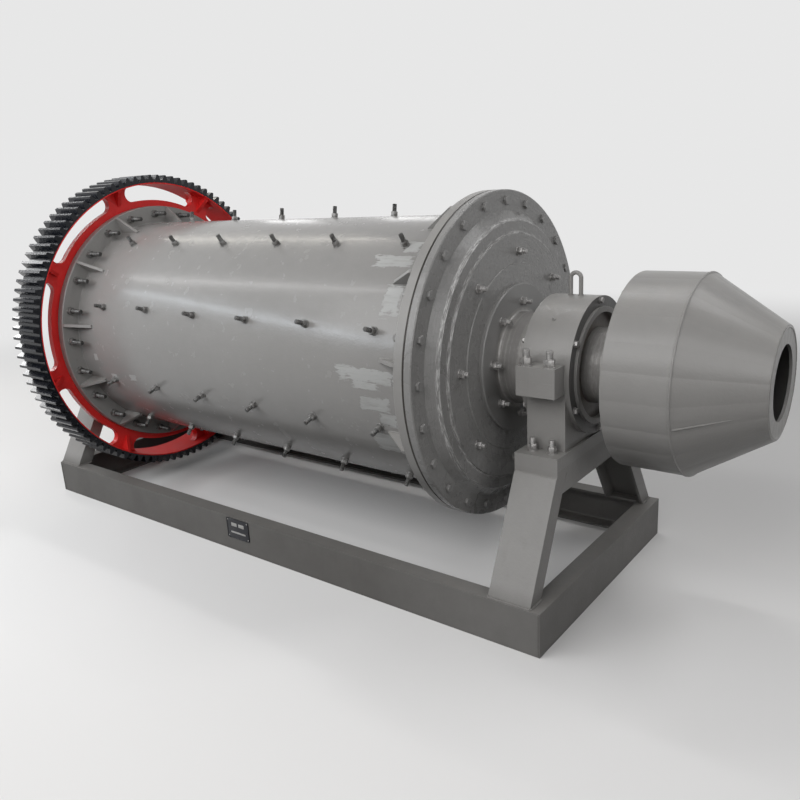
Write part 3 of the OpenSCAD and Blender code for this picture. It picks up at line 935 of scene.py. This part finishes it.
def painted_bolt_finish(name, measure, nut_top):
    """Paler nut and a dark stud end with bright thread crests, all under thin paint."""

    def make(colours):
        material, tree = new_material(name, colours.dark_steel)
        place = mill_place(tree)
        position = object_point(tree)
        spots = noise(tree, position, 120.0, 4.0, 0.6)
        stain = between(tree, noise(tree, position, 60.0, 3.0, 0.6), 0.48, 0.62)
        nut = full(colours.dark_steel, 1.7)
        stud = full(colours.dark_steel, 0.45)
        beyond = between(tree, place[measure], nut_top, nut_top + 0.001)
        shade = blend(tree, beyond, nut, stud)
        shade = blend(tree, times(tree, stain, 0.7), shade, full(colours.grime_and_shade))
        edge = use(
            tree, Finishes.group("edge", edge_wear_group), {"Amount": 1.0, "Radius": 0.0015}
        )[0]
        shade = blend(tree, edge, shade, full(colours.body_pale))
        rough = maths(tree, "MULTIPLY_ADD", spots, 0.25, 0.24)
        surface(tree, shade, rough, spots, 0.0004, metallic=0.3)
        return material

    return make


def plate_finish(colours):
    """Black enamelled plate."""
    material, tree = new_material("plate_enamel", colours.black)
    position = object_point(tree)
    scratches = noise(tree, stretched(tree, position, (30.0, 30.0, 260.0)), 1.0, 3.0, 0.6)
    shade = blend(
        tree, between(tree, scratches, 0.62, 0.80), full(colours.black), full(colours.steel)
    )
    rough = maths(tree, "MULTIPLY_ADD", scratches, 0.20, 0.25)
    surface(tree, shade, rough, scratches, 0.0002, coat=0.3)
    return material


def blank_finish(colours):
    """Pale blank fields of the plate."""
    material, tree = new_material("plate_field", colours.floor)
    position = object_point(tree)
    smear = noise(tree, position, 90.0, 4.0, 0.6)
    shade = blend(tree, between(tree, smear, 0.45, 0.80), full(PLATE_FIELD), full(colours.dust))
    rough = maths(tree, "MULTIPLY_ADD", smear, 0.25, 0.35)
    surface(tree, shade, rough, smear, 0.0002)
    return material


FINISH_MAKERS = {
    "shell": shell_finish,
    "body": body_finish("body_enamel", dust=0.22, dirt_and_shade=0.45),
    "flange": flange_finish,
    "frame": frame_finish,
    "housing": body_finish("housing_enamel", dust=0.15, dirt_and_shade=0.40),
    "head": head_finish,
    "feeder": feeder_finish,
    "gear_rim": gear_rim_finish,
    "red": red_finish,
    "trunnion": trunnion_finish,
    "cover": cover_finish,
    "bronze": steel_finish("bush_bronze_metal", "bronze", 0.25, 1.0, 0.0),
    "liner_bolt": painted_bolt_finish("liner_bolt_steel", "Radius", SHELL_RADIUS + 0.0185),
    "gear_bolt": painted_bolt_finish("rim_bolt_steel", "Along", DISCHARGE_FLANGE_FRONT + 0.0205),
    "bright_bolt": steel_finish("plated_steel", "steel", 0.26, 0.60, 0.6),
    "plate": plate_finish,
    "blank": blank_finish,
}

# The finish of each solid, which goes into all of its material slots
NODE_FINISHES = {
    "shell": "shell",
    "feed_flange": "flange",
    "discharge_flange": "flange",
    "feed_gussets": "body",
    "discharge_gussets": "body",
    "feed_head": "head",
    "discharge_head": "head",
    "feed_trunnion": "trunnion",
    "discharge_trunnion": "trunnion",
    "gear_rim": "gear_rim",
    "gear_wheel": "red",
    "feeder_back": "feeder",
    "feeder_drum": "feeder",
    "feeder_cone": "feeder",
    "feeder_mouth": "feeder",
    "spout_ring": "body",
}
for end in ("feed", "discharge"):
    NODE_FINISHES.update(
        {
            f"{end}_bearing_base": "housing",
            f"{end}_bearing_cap": "housing",
            f"{end}_lifting_eye": "housing",
            f"{end}_bush": "bronze",
            f"{end}_cover_inner": "cover",
            f"{end}_cover_outer": "cover",
            f"{end}_seat_beam": "frame",
            f"{end}_leg_near": "frame",
            f"{end}_leg_far": "frame",
            f"base_end_{end}": "frame",
        }
    )
for side in ("near", "far"):
    NODE_FINISHES[f"base_rail_{side}"] = "frame"


class MILL_OT_finishes(bpy.types.Operator):
    """Give every solid of the mill its painted, cast or machined finish"""

    bl_idname = "mill.finishes"
    bl_label = "Finishes"

    def execute(self, context):
        for name, finish in NODE_FINISHES.items():
            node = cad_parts[name]
            material = Finishes.get(finish)
            for slot in node.material_slots:
                slot.material = material
        return {"FINISHED"}


class MILL_OT_liner_bolts(bpy.types.Operator):
    """Ten rows of blackened studs and nuts that hold the shell liners"""

    bl_idname = "mill.liner_bolts"
    bl_label = "Liner bolts"

    def execute(self, context):
        sizes = context.scene.mill_sizes
        chance = random.Random(11)
        places = [
            placed(
                FEED_RIM + LINER_FIRST + column * LINER_PITCH,
                SHELL_RADIUS - 0.0006,
                angle + chance.uniform(-0.3, 0.3),
                spin=chance.uniform(0, 60),
            )
            for angle in LINER_ROWS
            for column in range(LINER_COLUMNS)
        ]
        pattern = nut_and_end(sizes, sizes.liner_flats, sizes.liner_stud_end)
        piece = stamped("liner_bolts", pattern, places)
        finished(piece, "drum", Finishes.get("liner_bolt"))
        return {"FINISHED"}


def rim_bolt(sizes, grip, stud_end):
    """Bolt head at z = 0, with the nut and the stud end behind the clamped plates."""
    flats = sizes.rim_flats
    head = hexagon(flats, sizes.rim_head_height, 0)
    shank = turned(12, [(0.34 * flats, -grip), (0.34 * flats, 0.001)])
    under = nut_and_end(sizes, flats, stud_end)
    under.matrix_world = Matrix.Translation((0, 0, -grip)) @ Matrix.Rotation(math.pi, 4, "X")
    return joined("rim_bolt", [head, shank, under])


class MILL_OT_rim_bolts(bpy.types.Operator):
    """Bolts round both heads' rims, through head, wheel plate and flange"""

    bl_idname = "mill.rim_bolts"
    bl_label = "Rim bolts"

    def execute(self, context):
        sizes = context.scene.mill_sizes
        chance = random.Random(12)
        for end, rim, flange, way, stud_end, finish in (
            ("feed", FEED_RIM, FEED_FLANGE_BACK, 1, sizes.feed_stud_end, "head"),
            (
                "discharge",
                DISCHARGE_HEAD_RIM,
                DISCHARGE_FLANGE_FRONT,
                -1,
                sizes.gear_stud_end,
                "gear_bolt",
            ),
        ):
            places = bolt_circle(RIM_BOLTS[end], rim, way, chance)
            pattern = rim_bolt(sizes, abs(rim - flange), stud_end)
            piece = stamped(f"{end}_rim_bolts", pattern, places)
            finished(piece, "drum", Finishes.get(finish))
        return {"FINISHED"}


class MILL_OT_head_studs(bpy.types.Operator):
    """Studs and nuts on the heads: eight at the inner step, eight at each trunnion flange"""

    bl_idname = "mill.head_studs"
    bl_label = "Head studs"

    def execute(self, context):
        sizes = context.scene.mill_sizes
        chance = random.Random(13)
        for end, rim, way in (("feed", FEED_RIM, 1), ("discharge", DISCHARGE_HEAD_RIM, -1)):
            outer = bolt_circle(HEAD_STUDS, rim + way * INNER_STEP_FACE, way, chance)
            inner = bolt_circle(TRUNNION_STUDS, rim + way * TRUNNION_FACE, way, chance)
            for name, stud_end, places in (
                (f"{end}_head_studs", sizes.head_stud_end, outer),
                (f"{end}_trunnion_studs", 1.3 * sizes.head_stud_end, inner),
            ):
                pattern = nut_and_end(sizes, sizes.head_flats, stud_end)
                piece = stamped(name, pattern, places)
                finished(piece, "drum", Finishes.get("bright_bolt"))
        return {"FINISHED"}


class MILL_OT_bearing_bolts(bpy.types.Operator):
    """Cover bolts, clamping studs and foot studs of both bearings"""

    bl_idname = "mill.bearing_bolts"
    bl_label = "Bearing bolts"

    def execute(self, context):
        sizes = context.scene.mill_sizes
        chance = random.Random(14)
        for end, middle, outwards in (
            ("feed", FEED_BEARING, 1), ("discharge", DISCHARGE_BEARING, -1)
        ):
            low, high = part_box(f"{end}_bearing_cap")
            face = (high.x - low.x) / 2 + COVER_THICKNESS
            places = [
                place
                for way in (outwards, -outwards)
                for place in bolt_circle(COVER_BOLTS, middle + way * face, way, chance)
            ]
            pattern = joined(
                "cover_bolt", [washer(0.0112, 0.002), hexagon(sizes.cover_bolt_flats, 0.008, 0.002)]
            )
            piece = stamped(f"{end}_cover_bolts", pattern, places)
            finished(piece, "base_frame", Finishes.get("bright_bolt"))

            lug_front = high.y
            foot_low, foot_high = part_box(f"{end}_bearing_base")
            beam_under = foot_low.z - SEAT_THICKNESS
            on_lugs, on_feet, hanging = [], [], []
            for side in (-1, 1):
                for along in (-0.037, 0.037):
                    on_lugs.append((along, side * (lug_front - 0.020), AXIS_Z + LUG_HEIGHT))
                for along in (-0.032, 0.032):
                    spot = side * (foot_high.y - 0.045)
                    on_feet.append((along, spot, foot_low.z + FOOT_THICKNESS))
                    hanging.append((along, spot, beam_under))
            parts = [
                stamped(
                    "above",
                    nut_and_end(sizes, flats, stud_end),
                    [
                        Matrix.Translation((middle + x, y, z)) @ Matrix.Rotation(
                            chance.uniform(0, 1), 4, "Z"
                        )
                        for x, y, z in spots
                    ],
                )
                for flats, stud_end, spots in (
                    (sizes.lug_flats, sizes.lug_stud_end, on_lugs),
                    (sizes.foot_flats, sizes.foot_stud_end, on_feet),
                )
            ]
            below = stamped(
                "below",
                nut_and_end(sizes, sizes.foot_flats, 0.006),
                [
                    Matrix.Translation((middle + x, y, z)) @ Matrix.Rotation(math.pi, 4, "X")
                    for x, y, z in hanging
                ],
            )
            piece = joined(f"{end}_housing_studs", [*parts, below])
            finished(piece, "base_frame", Finishes.get("bright_bolt"))
        return {"FINISHED"}


class MILL_OT_grease_nipples(bpy.types.Operator):
    """A grease nipple on each bearing cap"""

    bl_idname = "mill.grease_nipples"
    bl_label = "Grease nipples"

    def execute(self, context):
        radius = CAP_RADIUS - 0.001
        for end, x in (("feed", FEED_BEARING - 0.0046), ("discharge", DISCHARGE_BEARING + 0.0046)):
            pattern = joined(
                "nipple",
                [
                    hexagon(0.009, 0.004, 0),
                    turned(
                        12,
                        [
                            (0.0030, 0.003),
                            (0.0030, 0.006),
                            (0.0019, 0.0075),
                            (0.0019, 0.009),
                            (0.0027, 0.010),
                            (0.0027, 0.0115),
                            (0.0014, 0.0125),
                        ],
                    ),
                ],
            )
            piece = stamped(f"{end}_grease_nipple", pattern, [placed(x, radius, 131.1)])
            finished(piece, "base_frame", Finishes.get("bright_bolt"))
        return {"FINISHED"}


def bead(size, reach):
    """Straight weld bead along Z with its ripples."""
    ripples = max(4, round(reach / (0.9 * size)))
    chance = random.Random(ripples)
    rings = [(0.4 * size, 0.0)]
    for i in range(ripples):
        base = i * reach / ripples
        swell = size * chance.uniform(0.9, 1.08)
        rings.append((swell, base + 0.45 * reach / ripples))
        rings.append((0.82 * swell, base + 0.95 * reach / ripples))
    rings.append((0.4 * size, reach))
    return turned(8, rings)


def seam(size, start, end):
    """Weld bead from one point to another."""
    start, end = Vector(start), Vector(end)
    way = end - start
    piece = bead(size, way.length)
    piece.matrix_world = (
        Matrix.Translation(start) @ way.to_track_quat("Z", "Y").to_matrix().to_4x4()
    )
    return piece


def round_seam(size, x, radius):
    """Weld bead round the mill axis."""
    clear_selection()
    bpy.ops.mesh.primitive_torus_add(
        major_radius=radius,
        minor_radius=size,
        major_segments=160,
        minor_segments=8,
        location=(x, 0, AXIS_Z),
        rotation=(0, math.pi / 2, 0),
    )
    piece = bpy.context.object
    bpy.ops.object.transform_apply(location=True, rotation=True)
    bpy.ops.object.mode_set(mode="EDIT")
    bpy.ops.mesh.select_all(action="SELECT")
    bpy.ops.transform.vertex_random(offset=0.18 * size, seed=3)
    bpy.ops.object.mode_set(mode="OBJECT")
    return piece


class MILL_OT_weld_seams(bpy.types.Operator):
    """Weld beads on the frame, the flanges and the feeder"""

    bl_idname = "mill.weld_seams"
    bl_label = "Weld seams"

    def execute(self, context):
        size = context.scene.mill_sizes.weld_size
        low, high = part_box("base_rail_near")
        rail_top = high.z
        beads = []
        for end in ("feed", "discharge"):
            for side, way in (("near", -1), ("far", 1)):
                leg_low, leg_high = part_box(f"{end}_leg_{side}")
                beam_low, beam_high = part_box(f"{end}_seat_beam")
                lean = leg_high.x - beam_high.x
                start, stop = beam_low.x + lean, beam_high.x + lean
                foot = leg_low.y if way < 0 else leg_high.y
                inner = foot - way * LEG_FOOT_DEPTH
                beads.append(seam(size, (start, foot, rail_top), (stop, foot, rail_top)))
                for x in (start, stop):
                    beads.append(seam(size, (x, foot, rail_top), (x, inner, rail_top)))
                tip = beam_low.y + 0.001 if way < 0 else beam_high.y - 0.001
                top = leg_high.z
                beads.append(seam(0.7 * size, (beam_low.x, tip, top), (beam_high.x, tip, top)))
        for end, x in (("feed", high.x), ("discharge", low.x)):
            for y in (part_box("base_rail_near")[0].y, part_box("base_rail_far")[1].y):
                beads.append(seam(0.6 * size, (x, y, 0.004), (x, y, rail_top - 0.002)))
        piece = joined("frame_welds", beads)
        finished(piece, "base_frame", Finishes.get("frame"), smooth=60)

        drum_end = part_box("feeder_cone")[0].x
        feeder_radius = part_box("feeder_drum")[1].z - AXIS_Z
        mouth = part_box("feeder_cone")[1]
        seam_angle = math.radians(197.0)
        out = Vector((0, math.cos(seam_angle), math.sin(seam_angle)))
        centre = Vector((0, 0, AXIS_Z))
        feeder = [
            round_seam(0.7 * size, drum_end, feeder_radius - 0.001),
            round_seam(0.7 * size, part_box("feeder_drum")[0].x, feeder_radius - 0.004),
            round_seam(0.9 * size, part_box("feeder_back")[0].x, HUB_RADIUS),
            round_seam(0.6 * size, mouth.x - 0.001, MOUTH_RADIUS - 0.007),
            seam(
                0.6 * size,
                centre + out * (feeder_radius - 0.002) + Vector((drum_end + 0.004, 0, 0)),
                centre + out * (MOUTH_RADIUS - 0.002) + Vector((mouth.x - 0.004, 0, 0)),
            ),
        ]
        piece = joined("feeder_welds", feeder)
        finished(piece, "drum", Finishes.get("feeder"), smooth=60)

        shell = [
            round_seam(0.5 * size, FEED_FLANGE_BACK, SHELL_RADIUS),
            round_seam(0.5 * size, DISCHARGE_FLANGE_FRONT, SHELL_RADIUS),
        ]
        count, radius, first = GUSSETS
        for start, way in ((FEED_FLANGE_BACK, -1), (DISCHARGE_FLANGE_FRONT, 1)):
            for angle in spaced(count, first):
                for edge in (-GUSSET_HALF_THICKNESS, GUSSET_HALF_THICKNESS):
                    swing = math.radians(angle) + edge / radius
                    foot = centre + Vector((0, math.cos(swing) * radius, math.sin(swing) * radius))
                    shell.append(
                        seam(
                            0.6 * size,
                            foot + Vector((start, 0, 0)),
                            foot + Vector((start + way * GUSSET_LENGTH, 0, 0)),
                        )
                    )
        piece = joined("shell_welds", shell)
        finished(piece, "drum", Finishes.get("body"), smooth=60)
        return {"FINISHED"}


def slab(size, centre, bevel):
    """Thin plate with rounded corners and softened edges; its face looks to -Y."""
    clear_selection()
    bpy.ops.mesh.primitive_cube_add(size=1, location=centre, scale=size)
    piece = bpy.context.object
    bpy.ops.object.transform_apply(location=True, scale=True)
    bpy.ops.object.mode_set(mode="EDIT")
    bpy.ops.mesh.select_all(action="DESELECT")
    bpy.ops.object.mode_set(mode="OBJECT")
    for edge in piece.data.edges:
        a, b = (piece.data.vertices[i].co for i in edge.vertices)
        edge.select = abs(a.y - b.y) > 0.5 * size[1]
    bpy.ops.object.mode_set(mode="EDIT")
    bpy.ops.mesh.select_mode(type="EDGE")
    bpy.ops.mesh.bevel(offset=bevel, segments=4)
    bpy.ops.object.mode_set(mode="OBJECT")
    soft = piece.modifiers.new("soft_edges", "BEVEL")
    soft.width = 0.25 * size[1]
    soft.segments = 2
    soft.limit_method = "ANGLE"
    bpy.ops.object.modifier_apply(modifier=soft.name)
    return piece


class MILL_OT_nameplate(bpy.types.Operator):
    """Black plate with three blank pale fields, riveted to the near rail"""

    bl_idname = "mill.nameplate"
    bl_label = "Nameplate"

    def execute(self, context):
        sizes = context.scene.mill_sizes
        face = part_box("base_rail_near")[0].y
        middle = Vector((FEED_RIM - 0.900, face, 0.094))
        wide, high = sizes.plate_length, sizes.plate_height
        plate = slab((wide, 0.002, high), middle + Vector((0, -0.001, 0)), 0.004)
        rivets = [
            Matrix.Translation(
                middle + Vector((a * (wide / 2 - 0.007), -0.002, b * (high / 2 - 0.007)))
            ) @ Matrix.Rotation(math.pi / 2, 4, "X")
            for a in (-1, 1)
            for b in (-1, 1)
        ]
        pattern = turned(12, [(0.0028, -0.001), (0.0028, 0.0006), (0.0018, 0.0014)])
        studs = stamped("plate_rivets", pattern, rivets)
        plate = joined("nameplate", [plate])
        finished(plate, "base_frame", Finishes.get("plate"))
        finished(studs, "base_frame", Finishes.get("bright_bolt"))
        fields = [
            slab((0.030, 0.0008, 0.014), middle + Vector((-0.020, -0.0022, 0.016)), 0.001),
            slab((0.030, 0.0008, 0.014), middle + Vector((0.020, -0.0022, 0.016)), 0.001),
            slab((0.080, 0.0008, 0.007), middle + Vector((0, -0.0022, -0.016)), 0.001),
        ]
        piece = joined("plate_fields", fields)
        finished(piece, "base_frame", Finishes.get("blank"))
        return {"FINISHED"}


# Stage

CEILING = (0.30, 0.31, 0.33)


def shown(tree):
    """1 for what the camera sees, straight or in gloss and glass, and 0 for plain bounced light."""
    ray = add(tree, "ShaderNodeLightPath").outputs
    gloss = maths(tree, "MAXIMUM", ray["Is Glossy Ray"], ray["Is Transmission Ray"])
    return maths(tree, "MAXIMUM", ray["Is Camera Ray"], gloss)


def floor_material(rgb, bounce, blend_start, blend_end, glow):
    """Pale floor that keeps the mill's shadow and fades into its surroundings."""
    material, tree = new_material("pale_floor", rgb)
    position = object_point(tree)
    span = add(tree, "ShaderNodeVectorMath", {0: position}, operation="LENGTH").outputs["Value"]
    far = between(tree, span, blend_start, blend_end)
    seen = shown(tree)
    tone = blend(tree, seen, full(bounce), full(rgb))
    shader = add(tree, SURFACE, {"Base Color": tone, "Roughness": 0.75})
    shader.inputs["Specular IOR Level"].default_value = 0.2
    strength = maths(tree, "MULTIPLY_ADD", seen, 0.85, 0.15)
    light = add(tree, "ShaderNodeEmission", {"Color": full(glow), "Strength": strength})
    mixed = add(tree, "ShaderNodeMixShader", {0: far, 1: shader.outputs[0], 2: light.outputs[0]})
    output = add(tree, "ShaderNodeOutputMaterial")
    tree.links.new(mixed.outputs[0], output.inputs[0])
    return material


def softbox(name, location, target, size, power, tint=(1, 1, 1), roll=0.0):
    lamp = bpy.data.lights.new(name, "AREA")
    lamp.shape = "RECTANGLE"
    lamp.size, lamp.size_y = size
    lamp.energy = power
    lamp.color = tint
    holder = bpy.data.objects.new(name, lamp)
    bpy.context.collection.objects.link(holder)
    holder.location = location
    aim = (Vector(target) - Vector(location)).to_track_quat("-Z", "Y").to_matrix()
    holder.rotation_euler = (aim @ Matrix.Rotation(roll, 3, "Z")).to_euler()
    holder.visible_camera = False
    return holder


class MILL_OT_stage(bpy.types.Operator):
    """Pale floor, soft lamps, surroundings and the camera"""

    bl_idname = "mill.stage"
    bl_label = "Stage"

    def execute(self, context):
        colours = context.scene.mill_colours
        clear_selection()
        bpy.ops.mesh.primitive_circle_add(
            vertices=96, radius=30, fill_type="NGON", location=(0, 0, -0.0005)
        )
        floor = context.object
        floor.name = "floor"
        surroundings = (0.80, 0.80, 0.80)
        floor.data.materials.append(
            floor_material(colours.floor, (0.045, 0.044, 0.042), 2.4, 6.5, surroundings)
        )

        world = bpy.data.worlds.new("soft_room")
        context.scene.world = world
        world.use_nodes = True
        tree = world.node_tree
        tree.nodes.clear()
        way = add(tree, "ShaderNodeTexCoord").outputs["Generated"]
        up = add(tree, "ShaderNodeSeparateXYZ", {0: way}).outputs["Z"]
        ceiling = blend(tree, between(tree, up, 0.34, 0.80), full(surroundings), full(CEILING))
        wall = add(tree, "ShaderNodeBackground", {"Color": ceiling, "Strength": 1.0})
        room = add(tree, "ShaderNodeBackground", {"Color": (0.80, 0.82, 0.86, 1), "Strength": 0.15})
        pick = add(
            tree, "ShaderNodeMixShader", {0: shown(tree), 1: room.outputs[0], 2: wall.outputs[0]}
        )
        output = add(tree, "ShaderNodeOutputWorld")
        tree.links.new(pick.outputs[0], output.inputs[0])

        softbox("side_light", (-0.4, -3.9, 3.4), (-0.4, 0, 0.7), (6.0, 2.6), 162)
        softbox("side_skylight", (-3.4, -1.98, 3.8), (-3.4, 0, 1.0), (5.2, 0.20), 32)
        softbox(
            "side_window",
            (-2.33, -1.98, 1.91),
            (-2.33, 0, 1.91),
            (3.9, 0.12),
            20,
            (0.84, 0.92, 1.0),
            math.radians(-20.0),
        )
        softbox("roof_window", (-3.5, 1.1, 3.8), (-3.5, 0, 0.8), (3.2, 0.13), 15, (1.0, 0.96, 0.86))
        softbox("roof_light", (-0.1, 1.27, 4.7), (-0.1, 0, 0.8), (1.8, 0.20), 24)
        softbox("far_window", (-2.5, 3.65, 2.6), (-2.5, 0, 1.1), (0.6, 0.8), 3)
        softbox("farther_window", (-4.1, 3.65, 2.6), (-4.1, 0, 1.1), (0.7, 0.8), 4)
        softbox("front_light", (4.2, -1.8, 2.4), (0.7, 0, 0.7), (2.2, 2.0), 38)
        softbox("gear_light", (-5.2, -0.4, 2.5), (-1.2, -0.5, 0.8), (3.0, 0.8), 50)
        softbox("head_light", (2.7, 1.3, 3.95), (0.72, 0, 0.75), (1.4, 1.0), 24)

        yaw, pitch, roll = 0.686414, -0.277231, 0.064161
        ahead = Vector(
            (-math.sin(yaw) * math.cos(pitch), math.cos(yaw) * math.cos(pitch), math.sin(pitch))
        )
        right = ahead.cross(Vector((0, 0, 1))).normalized()
        down = ahead.cross(right)
        across = math.cos(roll) * right + math.sin(roll) * down
        lower = math.cos(roll) * down - math.sin(roll) * right
        turn = Matrix((across, -lower, -ahead)).transposed().to_4x4()
        lens = bpy.data.cameras.new("photo_camera")
        lens.sensor_width = 36
        lens.lens = 35.07
        lens.shift_x = 0.0255
        lens.shift_y = 0.0014
        lens.clip_end = 200
        camera = bpy.data.objects.new("photo_camera", lens)
        context.collection.objects.link(camera)
        camera.matrix_world = Matrix.Translation((1.9898, -2.2302, 1.3441)) @ turn
        context.scene.camera = camera
        context.scene.view_settings.view_transform = "Standard"
        return {"FINISHED"}


class MILL_PT_panel(bpy.types.Panel):
    """Buttons for each group of pieces, and the sizes and colours they use"""

    bl_label = "Ball mill"
    bl_idname = "MILL_PT_panel"
    bl_space_type = "VIEW_3D"
    bl_region_type = "UI"
    bl_category = "Ball mill"

    def draw(self, context):
        layout = self.layout
        for operator in STEPS:
            layout.operator(operator.bl_idname)
        for settings in (context.scene.mill_sizes, context.scene.mill_colours):
            box = layout.box()
            for key in settings.__annotations__:
                box.prop(settings, key)


STEPS = (
    MILL_OT_finishes,
    MILL_OT_liner_bolts,
    MILL_OT_rim_bolts,
    MILL_OT_head_studs,
    MILL_OT_bearing_bolts,
    MILL_OT_grease_nipples,
    MILL_OT_weld_seams,
    MILL_OT_nameplate,
    MILL_OT_stage,
)
CLASSES = (MillSizes, MillColours, *STEPS, MILL_PT_panel)


def register():
    for item in CLASSES:
        bpy.utils.register_class(item)
    bpy.types.Scene.mill_sizes = bpy.props.PointerProperty(type=MillSizes)
    bpy.types.Scene.mill_colours = bpy.props.PointerProperty(type=MillColours)


def unregister():
    del bpy.types.Scene.mill_colours
    del bpy.types.Scene.mill_sizes
    for item in reversed(CLASSES):
        bpy.utils.unregister_class(item)


def main():
    register()
    bpy.ops.mill.finishes()
    bpy.ops.mill.liner_bolts()
    bpy.ops.mill.rim_bolts()
    bpy.ops.mill.head_studs()
    bpy.ops.mill.bearing_bolts()
    bpy.ops.mill.grease_nipples()
    bpy.ops.mill.weld_seams()
    bpy.ops.mill.nameplate()
    bpy.ops.mill.stage()


if __name__ == "__main__":
    main()
